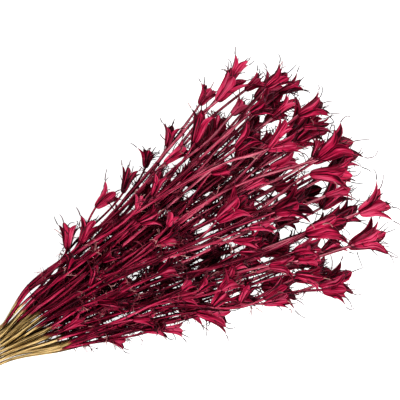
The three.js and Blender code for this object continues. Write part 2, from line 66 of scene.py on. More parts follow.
# How the photo's pixels lie in the bunch's own frame
PIXEL = 0.67
BAND_PIXEL = (-17, 357)
AXIS_IN_PHOTO = (0.8746, 0.4848)
PHOTO_SIDE = 400

# Stems
SPRAYS = 46
BRANCHES_AT_MOST = 3
STEM_RADIUS = 1.3
BRANCH_RADIUS = 1.0
STEM_GAP = 0.3
CUT_END = -150
CUT_UNEVEN = 26
CUT_SPREAD = 1.75
CUT_LIFT = 6.5
CUT_SWAY = 1.2
STEM_TAPER = 0.2
BRANCH_RUN = 58
BRANCH_RUN_SPREAD = 50
RUN_STEPS = 10
RUN_STRIDE = 7
LOWEST_FORK_FOR = 70
BRANCH_CROWDING = 6

# The band
BAND_THICKNESS = 2.2
BAND_TURN = 2.4
BAND_TURNS = 3
BAND_SEGMENTS = 24
NECK_REACH = 8

# The stems' places in the band, on a close hexagonal grid
GRID_REACH = 6
GRID_SHIFT = (0.2, 0.7)

# The fan beyond the band: half width and half height grow along a hyperbola
NECK = 11.2
WIDTH_SLOPE = 0.375
HEIGHT_SLOPE = 0.205
SAG = 0.84
REACH = 288
REACH_LOSS = 0.13

# Seed heads: base x, base y, mouth x, mouth y, mouth radius in the photo's pixels, and how
# high in the bunch the head lies, from 0 at mid-height to 1 on top
SEEN_HEADS = [
    (198, 102, 212, 86, 11, 0.1), (217, 101, 241, 81, 14, 0.6), (228, 86, 244, 59, 9, 0.35),
    (243, 86, 261, 74, 9, 0.4), (266, 88, 287, 73, 12, 0.65), (279, 93, 302, 83, 9, 0.25),
    (251, 114, 269, 104, 12, 0.9), (272, 118, 294, 99, 8, 0.6), (298, 116, 325, 104, 14, 0.55),
    (303, 128, 331, 126, 7, 0.55), (318, 159, 347, 138, 20, 0.95), (311, 156, 319, 138, 6, 0.5),
    (194, 143, 207, 115, 12, 0.8), (167, 147, 174, 126, 9, 0.3), (236, 151, 260, 136, 16, 1.0),
    (267, 149, 299, 142, 11, 0.8), (264, 141, 287, 119, 8, 0.9), (145, 168, 148, 149, 9, 0.2),
    (120, 189, 131, 168, 9, 0.2), (96, 210, 115, 194, 12, 0.5), (67, 252, 68, 224, 11, 0.3),
    (82, 247, 92, 222, 11, 0.6), (152, 196, 162, 173, 9, 0.95), (211, 173, 230, 167, 11, 0.95),
    (138, 213, 142, 197, 7, 1.0), (141, 225, 162, 216, 12, 1.0), (217, 221, 246, 199, 18, 1.0),
    (274, 211, 306, 200, 19, 1.0), (313, 182, 350, 175, 15, 0.95), (304, 231, 341, 219, 20, 1.0),
    (358, 213, 386, 200, 18, 0.6), (354, 245, 383, 236, 15, 0.5), (252, 233, 276, 228, 9, 0.95),
    (233, 241, 259, 240, 9, 0.95), (159, 243, 179, 236, 11, 1.0), (158, 273, 180, 269, 13, 1.0),
    (219, 286, 238, 276, 13, 1.0), (268, 264, 292, 262, 12, 0.95), (295, 253, 320, 248, 11, 0.85),
    (298, 280, 319, 274, 12, 0.8), (322, 290, 347, 288, 16, 0.4), (175, 300, 199, 294, 10, 1.0),
    (210, 302, 229, 295, 12, 1.0), (197, 314, 229, 319, 12, 0.7), (161, 330, 184, 329, 8, 0.4),
    (105, 340, 126, 344, 8, 0.5), (100, 306, 124, 300, 12, 1.0), (62, 331, 82, 315, 8, 1.0),
    (263, 298, 286, 280, 10, 0.95), (180, 182, 191, 165, 8, 0.6), (230, 300, 255, 296, 9, 0.8),
    (262, 301, 290, 298, 8, 0.6), (215, 125, 218, 112, 9, 0.5), (270, 168, 298, 160, 12, 0.45),
    (325, 196, 350, 188, 8, 0.5), (232, 115, 245, 99, 10, 0.6), (103, 263, 117, 253, 9, 1.0),
    (66, 272, 74, 256, 8, 1.0), (88, 285, 99, 268, 8, 1.0), (50, 333, 60, 322, 5, 1.0),
    (121, 294, 133, 284, 9, 1.0), (143, 330, 164, 325, 9, 0.95), (183, 292, 193, 280, 8, 1.0),
    (164, 163, 189, 148, 9, 0.8), (168, 226, 174, 211, 8, 1.0), (246, 190, 268, 176, 7, 0.75),
    (241, 255, 262, 252, 9, 0.85), (237, 272, 247, 263, 8, 0.95), (237, 298, 249, 279, 9, 1.0),
    (299, 262, 319, 257, 9, 0.8), (200, 292, 214, 282, 9, 1.0), (133, 320, 153, 315, 9, 1.0),
]
LEVEL_SPAN = 0.94
LEVEL_HEAD = 0.2
HEAD_RISE = 0.35

# One low head on each side, which the bunch rests on together with its band
REST_HEADS = [(132, -0.62), (112, 0.72)]
REST_LENGTH = 18
REST_FLARE = 0.5

# Seed heads that the photo hides, under and behind the others
HIDDEN_HEADS = 52
HIDDEN_TOP = 0.45
HIDDEN_EDGE = 0.85
HIDDEN_SPREAD = 0.58
HIDDEN_INNER = 0.3
HIDDEN_OUTWARD = 0.0035
HIDDEN_SWING = 0.6
HIDDEN_RISE = 0.2
HIDDEN_TILT = 0.4
HIDDEN_SEED = 20424
HEAD_LENGTH = 14
HEAD_LENGTH_SPREAD = 8
HEAD_FLARE = 0.42
HEAD_FLARE_SPREAD = 0.16

# The shape of a head, as shares of its length and of its mouth's radius
CUP_ALONG = 0.46
CUP_KEEL = 0.56
LOBES = 5

# Settling: how the bundle is packed so that nothing crosses
STATION = 40
SHORTEST_STEP = 12
SLICE = 5
FIRST_SLICE = 10
SWEEPS = 260
LAST_SWEEPS = 60
CLEARANCE = 1.2
GROUND_GAP = 0.15
PUSH = 0.35
SMOOTHING = 0.12
STEM_RETURN = 0.006
SEEN_RETURN = 0.12
HIDDEN_RETURN = 0.015
SEEN_WEIGHT = 0.35
HEAD_SAMPLES = (0, 0.25, 0.5, 0.75, 1)
HEAD_MARGIN = 4
FORK_FREE = 14
SWAP_GAIN = 0.01
TURN_SEED = 311
CUT_SEED = 97
REST_BAND = 1.5
DRIFT_SEED = 5112
DRIFT_ACROSS = 0.31
DRIFT_EDGE = 0.9
DRIFT_UP = 0.25
THINNER = 0.12
NEVER_ZERO = 1e-6

# The mixing numbers of the repeatable draws
WORD = 0xFFFFFFFF
MIX_STEP = 0x6D2B79F5
MIX_SHIFTS = (15, 7, 14)
MIX_ODD = 61


def random_from(seed):
    """A repeatable draw between 0 and 1."""
    state = seed
    first, second, third = MIX_SHIFTS

    def draw():
        nonlocal state
        state = (state + MIX_STEP) & WORD
        mixed = ((state ^ (state >> first)) * (1 | state)) & WORD
        product = ((mixed ^ (mixed >> second)) * (MIX_ODD | mixed)) & WORD
        mixed = ((mixed + product) & WORD) ^ mixed
        return (mixed ^ (mixed >> third)) / (WORD + 1)

    return draw


def half_width(x):
    return math.sqrt(NECK * NECK + WIDTH_SLOPE * WIDTH_SLOPE * x * x)


def half_height(x):
    return math.sqrt(NECK * NECK + HEIGHT_SLOPE * HEIGHT_SLOPE * x * x)


def packed_places(count, spacing):
    """Places on the grid, the nearest to the middle first."""
    row_step = spacing * math.sqrt(0.75)
    places = []
    for row in range(-GRID_REACH, GRID_REACH + 1):
        for column in range(-GRID_REACH, GRID_REACH + 1):
            shift = GRID_SHIFT[row % 2]
            places.append((row * row_step, (column + shift) * spacing))
    places.sort(key=lambda place: (place[0] * place[0] + place[1] * place[1], *place))
    return places[:count]


stem_places = packed_places(SPRAYS, 2 * STEM_RADIUS + STEM_GAP)
stems_reach = max(math.hypot(y, z) for y, z in stem_places) + STEM_RADIUS
band_inside = (stems_reach + STEM_GAP) / math.cos(math.pi / BAND_SEGMENTS)
band_outside = band_inside + BAND_THICKNESS
NECK_HEIGHT = band_outside * math.cos(math.pi / BAND_SEGMENTS)


def middle_height(x):
    return NECK_HEIGHT + SAG * (half_height(x) - NECK)


def in_fan(x, across, up):
    """How far sideways and up a place is, from its shares of the fan's half width and height."""
    return across * half_width(x), middle_height(x) + up * half_height(x)


@dataclass(eq=False)
class Head:
    base: tuple
    tip: tuple
    across: float
    up: float
    mouth: float
    seen: bool


def to_bunch(px, py):
    """A pixel of the photo as a place on the bunch's own ground."""
    right = (px - BAND_PIXEL[0]) * PIXEL
    up = (BAND_PIXEL[1] - py) * PIXEL
    c, s = AXIS_IN_PHOTO
    return right * c + up * s, up * c - right * s


def seen_heads():
    heads = []
    for base_x, base_y, mouth_x, mouth_y, mouth, level in SEEN_HEADS:
        base = to_bunch(base_x, base_y)
        tip = to_bunch(mouth_x, mouth_y)
        across = max(-1, min(1, base[1] / half_width(base[0])))
        up = level * LEVEL_SPAN * math.sqrt(1 - across * across)
        base_z = in_fan(base[0], across, up)[1]
        tip_z = base_z + (up - LEVEL_HEAD) * HEAD_RISE * (tip[0] - base[0])
        heads.append(Head((*base, base_z), (*tip, tip_z), across, up, mouth * PIXEL, True))
    return heads


def rest_heads():
    heads = []
    for x, across in REST_HEADS:
        up = -math.sqrt(1 - across * across)
        mouth = REST_LENGTH * REST_FLARE
        base = (x, *in_fan(x, across, up))
        step = REST_LENGTH / x
        tip = (x + REST_LENGTH, base[1] * (1 + step), mouth + GROUND_GAP)
        heads.append(Head(base, tip, across, up, mouth, True))
    return heads


def hidden_heads():
    """Heads drawn at random through the bunch, below those that the photo shows."""
    random = random_from(HIDDEN_SEED)
    heads = []
    while len(heads) < HIDDEN_HEADS:
        across = 2 * random() - 1
        up = 2 * random() - 1
        early = random()
        swing = random() - 0.5
        tilt = random() - 0.5
        size = random()
        flare = random()
        out = across * across + up * up
        if out > 1 or up > HIDDEN_TOP or abs(across) > HIDDEN_EDGE:
            continue
        held_back = HIDDEN_SPREAD * early * (HIDDEN_INNER + (1 - HIDDEN_INNER) * out)
        reach = REACH * (1 - REACH_LOSS * out) * (1 - held_back)
        length = HEAD_LENGTH + HEAD_LENGTH_SPREAD * size
        x = reach - length
        ahead_y = across * half_width(x) * HIDDEN_OUTWARD + swing * HIDDEN_SWING
        ahead_z = up * HIDDEN_RISE + tilt * HIDDEN_TILT
        step = length / math.sqrt(1 + ahead_y * ahead_y + ahead_z * ahead_z)
        base = (x, *in_fan(x, across, up))
        tip = (x + step, base[1] + step * ahead_y, base[2] + step * ahead_z)
        mouth = length * (HEAD_FLARE + HEAD_FLARE_SPREAD * flare)
        heads.append(Head(base, tip, across, up, mouth, False))
    return heads


class Main:
    """A main stem with its branches, each a head and the number of the station that it leaves."""

    def __init__(self, head):
        self.head = head
        self.branches = []


def spray_plan():
    """The heads that reach furthest end the main stems, and each other head is given to the main
    stem that passes nearest to where its branch would leave."""
    heads = seen_heads() + rest_heads() + hidden_heads()
    random = random_from(DRIFT_SEED)
    for head in heads:
        head.drift_across = DRIFT_ACROSS * (2 * random() - 1)
        head.drift_up = DRIFT_UP * (2 * random() - 1)
        head.thickness = 1 - THINNER * random()
    heads.sort(key=lambda head: -head.base[0])
    mains = [Main(head) for head in heads[:SPRAYS]]
    for index, head in enumerate(heads[SPRAYS:]):
        run = BRANCH_RUN + BRANCH_RUN_SPREAD * ((index * RUN_STRIDE) % RUN_STEPS) / RUN_STEPS
        lowest = 0 if head.base[0] < LOWEST_FORK_FOR else 1
        fork = max(lowest, math.floor((head.base[0] - run - NECK_REACH) / STATION + 0.5))
        fork_x = NECK_REACH + fork * STATION

        def nearness(main):
            taken = [place for _, place in main.branches]
            if len(taken) >= BRANCHES_AT_MOST or fork in taken:
                return math.inf
            dy = (main.head.across - head.across) * half_width(fork_x)
            dz = (main.head.up - head.up) * half_height(fork_x)
            return dy * dy + dz * dz + BRANCH_CROWDING * len(taken)

        min(mains, key=nearness).branches.append((head, fork))
    return mains


def stem_goal(head, x):
    """Where a stem would like to run. It starts some way off its head's own direction, so that
    stems cross above and below each other as they do in a bunch tied by hand."""
    left = 1 - x / head.base[0]
    across = head.across + head.drift_across * left
    up = head.up + head.drift_up * left
    edge = max(DRIFT_EDGE, math.sqrt(head.across * head.across + head.up * head.up))
    out = max(1, math.sqrt(across * across + up * up) / edge)
    return in_fan(x, across / out, up / out)


def share_neck_places(mains):
    """Two stems change places in the band wherever that brings both nearer to where they go."""
    for main, place in zip(mains, stem_places):
        main.place = place
        main.towards = stem_goal(main.head, NECK_REACH + STATION)
    changed = True
    while changed:
        changed = False
        for one, other in combinations(mains, 2):
            dy = (one.towards[0] - other.towards[0]) * (one.place[0] - other.place[0])
            dz = (one.towards[1] - other.towards[1]) * (one.place[1] - other.place[1])
            if dy + dz <= -SWAP_GAIN:
                one.place, other.place = other.place, one.place
                changed = True


@dataclass(eq=False)
class Station:
    """A place that a stem runs through. It is drawn back by its pull, gives way by its weight,
    and stays where it is when it has no weight."""

    x: float
    y: float
    z: float
    pull: float
    weight: float

    def place(self):
        return self.x, self.y, self.z


class Line:
    """From the band or a fork to a head: stations every few centimetres, then the head's base
    and mouth. A branch shares its first station with its main stem."""

    def __init__(self, main, head, root, radius):
        self.main = main
        self.head = head
        self.radius = radius * head.thickness
        self.stations = [root]
        x = root.x + STATION
        while x < head.base[0] - SHORTEST_STEP:
            self.stations.append(Station(x, *stem_goal(head, x), STEM_RETURN, 1))
            x += STATION
        self.base_at = len(self.stations)
        give = (SEEN_RETURN, SEEN_WEIGHT) if head.seen else (HIDDEN_RETURN, 1)
        self.stations += [Station(*head.base, *give), Station(*head.tip, *give)]


def lay_lines(mains):
    for main in mains:
        y, z = main.place
        foot = Station(NECK_REACH, y, NECK_HEIGHT + z, 0, 0)
        stem = Line(main, main.head, foot, STEM_RADIUS)
        main.lines = [stem]
        for head, fork in main.branches:
            root = stem.stations[min(fork, stem.base_at - 1)]
            main.lines.append(Line(main, head, root, BRANCH_RADIUS))
    return [line for main in mains for line in main.lines]


def head_radius(share, radius, mouth):
    """How wide a head is at a share of its length."""
    cup = CUP_KEEL * mouth
    in_cup = radius + (cup - radius) * np.maximum(0, share) / CUP_ALONG
    grown = np.minimum(1, (share - CUP_ALONG) / (1 - CUP_ALONG))
    return np.where(share < CUP_ALONG, in_cup, cup + (mouth - cup) * grown)


class Samples:
    """Places between two neighbouring stations, each with its own thickness."""

    def __init__(self, rows):
        columns = [np.array(column) for column in zip(*rows)]
        self.line, self.p, self.q, self.share, self.radius, self.x, self.slice = columns

    def between(self, chosen):
        """The two stations of the chosen samples, and their shares of the way between them."""
        return self.p[chosen], self.q[chosen], self.share[chosen]


def sample_rows(lines):
    """Stem samples slice by slice, then a few samples along each head."""
    rows = []
    furthest = max(line.head.base[0] for line in lines)
    x = FIRST_SLICE
    while x < furthest:
        for number, line in enumerate(lines):
            if x <= line.stations[0].x or x >= line.stations[line.base_at].x:
                continue
            after = next(s for s in line.stations if s.x > x)
            before = line.stations[line.stations.index(after) - 1]
            share = (x - before.x) / (after.x - before.x)
            rows.append((number, before.number, after.number, share, line.radius, x, x))
        x += SLICE
    for number, line in enumerate(lines):
        base = line.stations[line.base_at]
        tip = line.stations[line.base_at + 1]
        for share in HEAD_SAMPLES:
            radius = float(head_radius(share, line.radius, line.head.mouth))
            x = base.x + (tip.x - base.x) * share
            rows.append((number, base.number, tip.number, share, radius, x, -1))
    return rows


class Moves:
    """Moves sideways and up, gathered for the stations during one sweep."""

    def __init__(self, weight):
        self.weight = weight
        self.moved = np.zeros((2, len(weight)))

    def add(self, station, shift):
        for moved, way in zip(self.moved, shift):
            moved += np.bincount(station, way, len(moved))

    def push_apart(self, one, other, push):
        """Moves two places between stations away from each other, by the shares of their weight."""
        weights = [
            self.weight[p] * (1 - share) + self.weight[q] * share for p, q, share in (one, other)]
        whole = weights[0] + weights[1]
        whole[whole == 0] = 1
        for (p, q, share), weight, shift in zip((one, other), weights, (-push, push)):
            shift = shift * (weight / whole)
            even = (1 - share) * (1 - share) + share * share
            self.add(p, shift * (1 - share) / even)
            self.add(q, shift * share / even)


def dot(one, other):
    return (one * other).sum(axis=0)


def stem_pairs(samples, joined):
    """Samples of two stems in the same slice."""
    pairs = []
    for place in np.unique(samples.slice[samples.slice > 0]):
        here = np.nonzero(samples.slice == place)[0]
        pairs.append(here[np.stack(np.triu_indices(len(here), 1))])
    one, other = np.concatenate(pairs, axis=1)
    apart = ~joined(samples.line[one], samples.line[other], samples.x[one])
    return one[apart], other[apart]


def head_pairs(lines, samples, x, joined):
    """Samples that may come near a head, with that head's two stations, stem radius and mouth."""
    heads = [(line.stations[line.base_at].number, line.stations[line.base_at + 1].number,
              line.radius, line.head.mouth) for line in lines]
    own, beside = np.indices((len(heads), len(samples.x))).reshape(2, -1)
    base, tip, radius, mouth = (np.array(column)[own] for column in zip(*heads))
    near = np.abs(samples.x[beside] - x[base]) <= 2 * (x[tip] - x[base]) + mouth + HEAD_MARGIN
    near &= samples.line[beside] != own
    near &= ~joined(samples.line[beside], own, samples.x[beside])
    return [column[near] for column in (beside, base, tip, radius, mouth)]


def settle(lines):
    """Moves the stations over a fixed number of sweeps, pushing apart stems and heads that touch."""
    stations = list(dict.fromkeys(s for line in lines for s in line.stations))
    for number, station in enumerate(stations):
        station.number = number
    at = np.array([s.place() for s in stations], float).T.copy()
    x, spread = at[0], at[1:]
    goal = spread.copy()
    pull, weight = np.array([(s.pull, s.weight) for s in stations], float).T
    samples = Samples(sample_rows(lines))
    fork_x = np.array([line.stations[0].x for line in lines])
    mains = [line.main for line in lines]
    main_of = np.array([mains.index(main) for main in mains])

    def joined_nearby(one, other, where):
        reach = np.maximum(fork_x[one], fork_x[other]) + FORK_FREE
        return (main_of[one] == main_of[other]) & (where < reach)

    one, other = stem_pairs(samples, joined_nearby)
    stem_need = samples.radius[one] + samples.radius[other] + CLEARANCE
    beside, base, tip, radius, mouth = head_pairs(lines, samples, x, joined_nearby)
    ground = [(s.number, line.head.mouth if index > line.base_at else line.radius)
              for line in lines for index, s in enumerate(line.stations)]
    on_ground, lowest = (np.array(column) for column in zip(*ground))
    lowest = lowest + GROUND_GAP
    inner = [[s.number for s in line.stations[i - 1:i + 2]]
             for line in lines for i in range(1, line.base_at)]
    before, here, after = np.array(inner).T
    between = (x[here] - x[before]) / (x[after] - x[before])

    for sweep in range(SWEEPS):
        moves = Moves(weight)
        spot = at[:, samples.p] + (at[:, samples.q] - at[:, samples.p]) * samples.share
        spot[0] = samples.x

        apart = spot[1:, other] - spot[1:, one]
        gap = dot(apart, apart)
        hit = np.nonzero(gap < stem_need * stem_need)[0]
        distance = np.sqrt(gap[hit]) + NEVER_ZERO
        push = apart[:, hit] * (PUSH * (stem_need[hit] - distance) / distance)
        moves.push_apart(samples.between(one[hit]), samples.between(other[hit]), push)

        axis = at[:, tip] - at[:, base]
        length = np.sqrt(dot(axis, axis))
        away = spot[:, beside] - at[:, base]
        close = np.abs(away).max(axis=0) <= length + mouth + HEAD_MARGIN
        share = dot(away, axis) / (length * length)
        slack = samples.radius[beside] / length
        away = away - share * axis
        distance = np.sqrt(dot(away, away)) + NEVER_ZERO
        need = head_radius(share, radius, mouth) + samples.radius[beside] + CLEARANCE
        hit = np.nonzero(close & (share >= -slack) & (share <= 1 + slack) & (distance < need))[0]
        push = away[1:, hit] * (PUSH * (need[hit] - distance[hit]) / distance[hit])
        along_head = (base[hit], tip[hit], np.clip(share[hit], 0, 1))
        moves.push_apart(along_head, samples.between(beside[hit]), push)

        easing = min(1, (SWEEPS - 1 - sweep) / LAST_SWEEPS)
        even = spread[:, before] + (spread[:, after] - spread[:, before]) * between
        moves.add(here, SMOOTHING * easing * (even - spread[:, here]))
        low = np.maximum(0, lowest - at[2, on_ground])
        moves.add(on_ground, [0 * low, low])
        spread += np.where(weight > 0, moves.moved + pull * easing * (goal - spread), 0)

    for station, (y, z) in zip(stations, spread.T.tolist()):
        station.y = y
        station.z = z


def turn_heads(lines):
    """Lowest heads point one lobe straight down, so that the bunch rests on their tips."""
    random = random_from(TURN_SEED)
    for line in lines:
        free = (random() - 0.5) * (2 * math.pi) / LOBES
        tip = line.stations[line.base_at + 1]
        resting = tip.z < line.head.mouth + REST_BAND
        line.turn = -math.pi / LOBES if resting else free


def cut_ends(mains):
    """The part of a main stem behind the band: straight to its cut end, spreading a little."""
    random = random_from(CUT_SEED)
    for main in mains:
        x = CUT_END + CUT_UNEVEN * (random() - 0.5)
        grown = 1 + (CUT_SPREAD - 1) * x / CUT_END
        y = main.place[0] * grown + CUT_SWAY * (random() - 0.5)
        lift = CUT_LIFT * x / CUT_END + CUT_SWAY * (random() - 0.5)
        z = NECK_HEIGHT + main.place[1] * grown + lift
        in_band = (-NECK_REACH, main.place[0], NECK_HEIGHT + main.place[1])
        main.tail = [(x, y, max(z, STEM_RADIUS + GROUND_GAP)), in_band]


# Fine stems, in millimetres
STEM_STEP = 5
STEM_FACETS = 12
STEM_RIB = 0.09
# Lightness drawn at random for each facet of a stem: stripes along the ribs, partly their own streaks
# and partly painted highlight
STEM_RIDGES = (0.12, 0.78)
PALER_STEMS = (110, 230)
PALER_LIGHT = 0.14
END_BEND = 0.35
ROOT_BEND = 0.5
ROOT_SWELL = 0.35
ROOT_SWELL_LENGTH = 3
NODE_SWELL = 0.25
NODE_SWELL_LENGTH = 1.6
PITH = 0.6
PITH_DEPTH = 1.5

# Fine seed heads. A row is a share of the head's length, and a freed row a share of the lobes'
# free part. Half a lobe's section is an arc of the keel's rib, by its angle, then the flank, by
# its share.
CUP_ROWS = (0, 0.03, 0.08, 0.16, 0.27, 0.37, 0.46)
FREE_ROWS = (0.1, 0.22, 0.36, 0.5, 0.64, 0.78, 0.9, 1)
RIB_ANGLES = (0, 45, 90)
FLANK_SHARES = (0.2, 0.5, 0.8, 1)
FLOOR_ROW = 3
CUP_SWELL = 0.42
CREASE_SWELL = 0.95
CREASE = 0.27
LOBE_FLARE = 0.28
LOBE_FLARES = (0.6, 1.5)
LOBE_CURL = 0.28
LOBE_CURLS = (0.4, 1.7)
CURL_LATE = 3.0
LOBE_REACHES = (0.8, 1.02)
LOBE_LEAN = 0.2
LOBE_SKEW = 0.3
LOBE_WIDEN = 0.44
WIDTH_POINT = (3.2, 0.9)
LOBE_DEEPEN = -0.04
DEPTH_POINT = (2.8, 0.85)
EDGE_WAVE = 0.07
EDGE_WAVES = 7
BULGE = 0.2
RIB_RADIUS = 0.13
RIB_START = 0.25
RIB_END = 0.35
SHELL = 0.42

# How light a head is, painted into its colour: a painted highlight along the keel's rib and along the
# rims, painted shade falling off across the flank, where lobes meet, on the inner sheet and in the
# cup's floor, and darker towards the cup's base
RIB_LIGHT = (0.86, 0.7, 0.44)
FLANK_LIGHT = (0.46, 0.5, 0.42, 0.36)
CREASE_LIGHT = 0.04
RIM_LIGHT = 0.95
CREASE_FADE = 0.35
INSIDE_LIGHT = 0.5
TIP_LIGHT = 0.35
LOBE_TONES = 0.25
LOBE_FIBRES = 0.36
BASE_LIGHT = (0.35, 0.6, 0.85)

# Hairs: the styles at the lobes' tips, threads in the mouths and thread leaves on the stems
HAIR_SIDES = 3
HAIR_CURVE = 1.3
HAIR_FRAME = (0.31, 0.52, 0.79)
STYLE_LENGTH = (0.4, 1.1)
MOUTH_HAIRS = 14
MOUTH_HAIR_LENGTH = (0.5, 1.5)
MOUTH_HAIR_SPREAD = 0.38
LEAF_LENGTH = (7, 15)
LEAF_AHEAD = (0.5, 2.0)
LEAVES_AT_NODE = (9, 1)

# Leaves are thickest up to the first of these distances from the band and thin out towards the
# second, and few grow where little of the bunch lies above them
LEAFY = (150, 235)
LEAFY_OUTSIDE = (0.4, 0.04)
LEAFY_DEPTH = (0.4, 0.85)
# Deep in the bunch the leaves grow coarser and longer, so that the dark ones close into masses:
# partly the real thread leaves, partly a dark mass standing in for painted shade
LEAF_COARSE = 1.7
SHORT_OUTSIDE = 0.8
LEAFLETS = 2
LEAFLET_FROM = 2
LEAFLET_LENGTH = (0.3, 0.6)
LEAFLET_SPREAD = 0.9

# Nodes along the stems, where leaves grow
NODE_EVERY = 30
NODE_SCATTER = 8
NODE_CLEAR = 8
FIRST_NODE = 42

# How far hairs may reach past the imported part, as a share of its sides, and how near the ground
BOX_MARGIN = 0.025
FLOOR_GAP = 0.55
# Tones drawn at random for the lines; heads hidden under the others draw from a darker range, partly
# random tone and partly painted shade
SEEN_TONES = (0.2, 1)
HIDDEN_TONES = (0, 0.55)
LOOKS_SEED = 7341
SEED_SPAN = 100

# Each kind of hair: the most that it turns, its radii at root and end, its points, and how far
# its colour is a style's
STYLE = (1.7, (0.45, 0.24), 7, 1)
MOUTH_HAIR = (1.7, (0.42, 0.26), 7, 0.5)
LEAF = (2.4, (0.28, 0.15), 7, 0)
LEAFLET = (2.4, (0.24, 0.13), 5, 0)
HAIR_LIGHT = 0.5

# The ragged line, measured from the band, where the dye stops
DYE_LINE = 45
DYE_SPREAD = 5
DYE_SOFT = 12
DYE_SLANT = 0.3
EARLY_DYE = 0.12
EARLY_DYE_LINE = 26
# Painted shade on the dyed parts: darker towards the band, fading out at this distance from it
NECK_PAINTED_SHADE = 0.26
NECK_PAINTED_SHADE_REACH = 230

# Places of the two materials on a spray
PLANT = 0
HAIR = 1

low_band, high_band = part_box("band")
SHIFT = np.array((low_band + high_band) / 2) / METRE - np.array([0, 0, NECK_HEIGHT])
box_low, box_high = (np.array(corner) / METRE - SHIFT for corner in cad_bounds)
room = (box_high - box_low) * BOX_MARGIN
hair_low = box_low - room
hair_low[2] = FLOOR_GAP
hair_high = box_high + room


def unit(v):
    return v / np.linalg.norm(v, axis=-1, keepdims=True)


def across_from(along):
    """Directions across a stem that runs along a direction: to its side and up."""
    side = unit(np.cross([0, 0, 1], along))
    return side, np.cross(along, side)


def bump_at(at, middle, width):
    return np.exp(-(((at - middle) / width) ** 2))


class Surface:
    """Points, faces and the values that the materials read, gathered for one piece."""

    VALUES = ("light", "tone", "dyed", "fine", "hidden", "deep", "stem")

    def __init__(self):
        self.parts = {name: [] for name in ("points", "grain", *self.VALUES)}
        self.faces = []
        self.slots = []
        self.count = 0

    def add(self, points, faces, slot, grain, **values):
        # Painted shade: the hidden value darkens places deep in the bunch, and the deep value darkens
        # dyed parts towards the band
        values["hidden"] = depth_at(points)
        values["deep"] = neck_painted_shade_at(points, values.get("dyed", 0))
        self.parts["points"].append((points + SHIFT) * METRE)
        self.parts["grain"].append(grain)
        for name in self.VALUES:
            self.parts[name].append(np.broadcast_to(values.get(name, 0), len(points)))
        for group in faces:
            self.faces.append(group + self.count)
            self.slots.append(np.full(len(group), slot))
        self.count += len(points)

    def mesh(self, name):
        mesh = bpy.data.meshes.new(name)
        sizes = np.concatenate([np.full(len(group), group.shape[1]) for group in self.faces])
        corners = np.concatenate([group.ravel() for group in self.faces])
        values = {name: np.concatenate(part).astype(np.float32).ravel()
                  for name, part in self.parts.items()}
        mesh.vertices.add(self.count)
        mesh.vertices.foreach_set("co", values.pop("points"))
        mesh.loops.add(len(corners))
        mesh.loops.foreach_set("vertex_index", corners.astype(np.int32))
        mesh.polygons.add(len(sizes))
        starts = np.cumsum(sizes) - sizes
        mesh.polygons.foreach_set("loop_start", starts.astype(np.int32))
        slots = np.concatenate(self.slots).astype(np.int32)
        mesh.polygons.foreach_set("material_index", slots)
        mesh.update(calc_edges=True)
        mesh.shade_smooth()
        grain = mesh.attributes.new("grain", "FLOAT_VECTOR", "POINT")
        grain.data.foreach_set("vector", values.pop("grain"))
        for name, value in values.items():
            mesh.attributes.new(name, "FLOAT", "POINT").data.foreach_set("value", value)
        return mesh


def quads(grid):
    """Quads between the neighbouring rows and columns of a grid of indices."""
    corners = [grid[:-1, :-1], grid[:-1, 1:], grid[1:, 1:], grid[1:, :-1]]
    return np.stack(corners, -1).reshape(-1, 4)


def ring_faces(rings, facets):
    grid = np.arange(rings * facets).reshape(rings, facets)
    return quads(np.hstack([grid, grid[:, :1]]))


def fan_faces(run, point):
    """Triangles from a run of indices to one point."""
    return np.stack([run[:-1], run[1:], np.full(len(run) - 1, point)], -1)


def depth_at(points, from_above=False):
    """How deep in the bunch a place is, from 0 at its outside to 1 along its middle. Seen from
    above, it stays as deep under the middle."""
    opened = np.sqrt(NECK**2 + np.outer(points[:, 0] ** 2, [WIDTH_SLOPE**2, HEIGHT_SLOPE**2]))
    middle = NECK_HEIGHT + SAG * (opened[:, 1] - NECK)
    across = points[:, 1] / opened[:, 0]
    up = (points[:, 2] - middle) / opened[:, 1]
    if from_above:
        up = np.maximum(0, up)
    return np.clip(1 - across**2 - up**2, 0, 1)


def neck_painted_shade_at(points, dyed):
    """How much painted shade darkens the dyed parts towards the band."""
    return NECK_PAINTED_SHADE * dyed * np.clip(1 - points[:, 0] / NECK_PAINTED_SHADE_REACH, 0, 1)


def dye_at(points, dye_line):
    reach = points[:, 0] + DYE_SLANT * points[:, 1]
    return np.clip((reach - dye_line) / DYE_SOFT + 0.5, 0, 1)


def smooth_run(stations, first_slope, last_slope):
    """Ring centres along a stem: a smooth curve through its stations."""
    x, spread = stations[:, 0], stations[:, 1:]
    step = np.diff(x)[:, None]
    chords = np.diff(spread, axis=0) / step
    slopes = np.empty_like(spread)
    slopes[1:-1] = (chords[:-1] * step[1:] + chords[1:] * step[:-1]) / (step[:-1] + step[1:])
    slopes[0] = chords[0] + (first_slope - chords[0]) * ROOT_BEND
    slopes[-1] = chords[-1] + (last_slope - chords[-1]) * END_BEND
    centres = []
    for i, length in enumerate(step[:, 0]):
        count = max(2, math.ceil(length / STEM_STEP))
        t = (np.arange(count) / count)[:, None]
        if i == len(step) - 1:
            t = np.append(t, [[1]], axis=0)
        near = 2 * t**3 - 3 * t**2 + 1
        leaving = (t**3 - 2 * t**2 + t) * length
        arriving = (t**3 - t**2) * length
        curve = near * spread[i] + leaving * slopes[i]
        curve += (1 - near) * spread[i + 1] + arriving * slopes[i + 1]
        centres.append(np.hstack([x[i] + length * t, curve]))
    return np.concatenate(centres)


def slope_at(run, x):
    """How a stem runs sideways and up at a place along the bunch."""
    after = min(np.searchsorted(run[:, 0], x, side="right"), len(run) - 1)
    rise = run[after] - run[after - 1]
    return rise[1:] / rise[0]


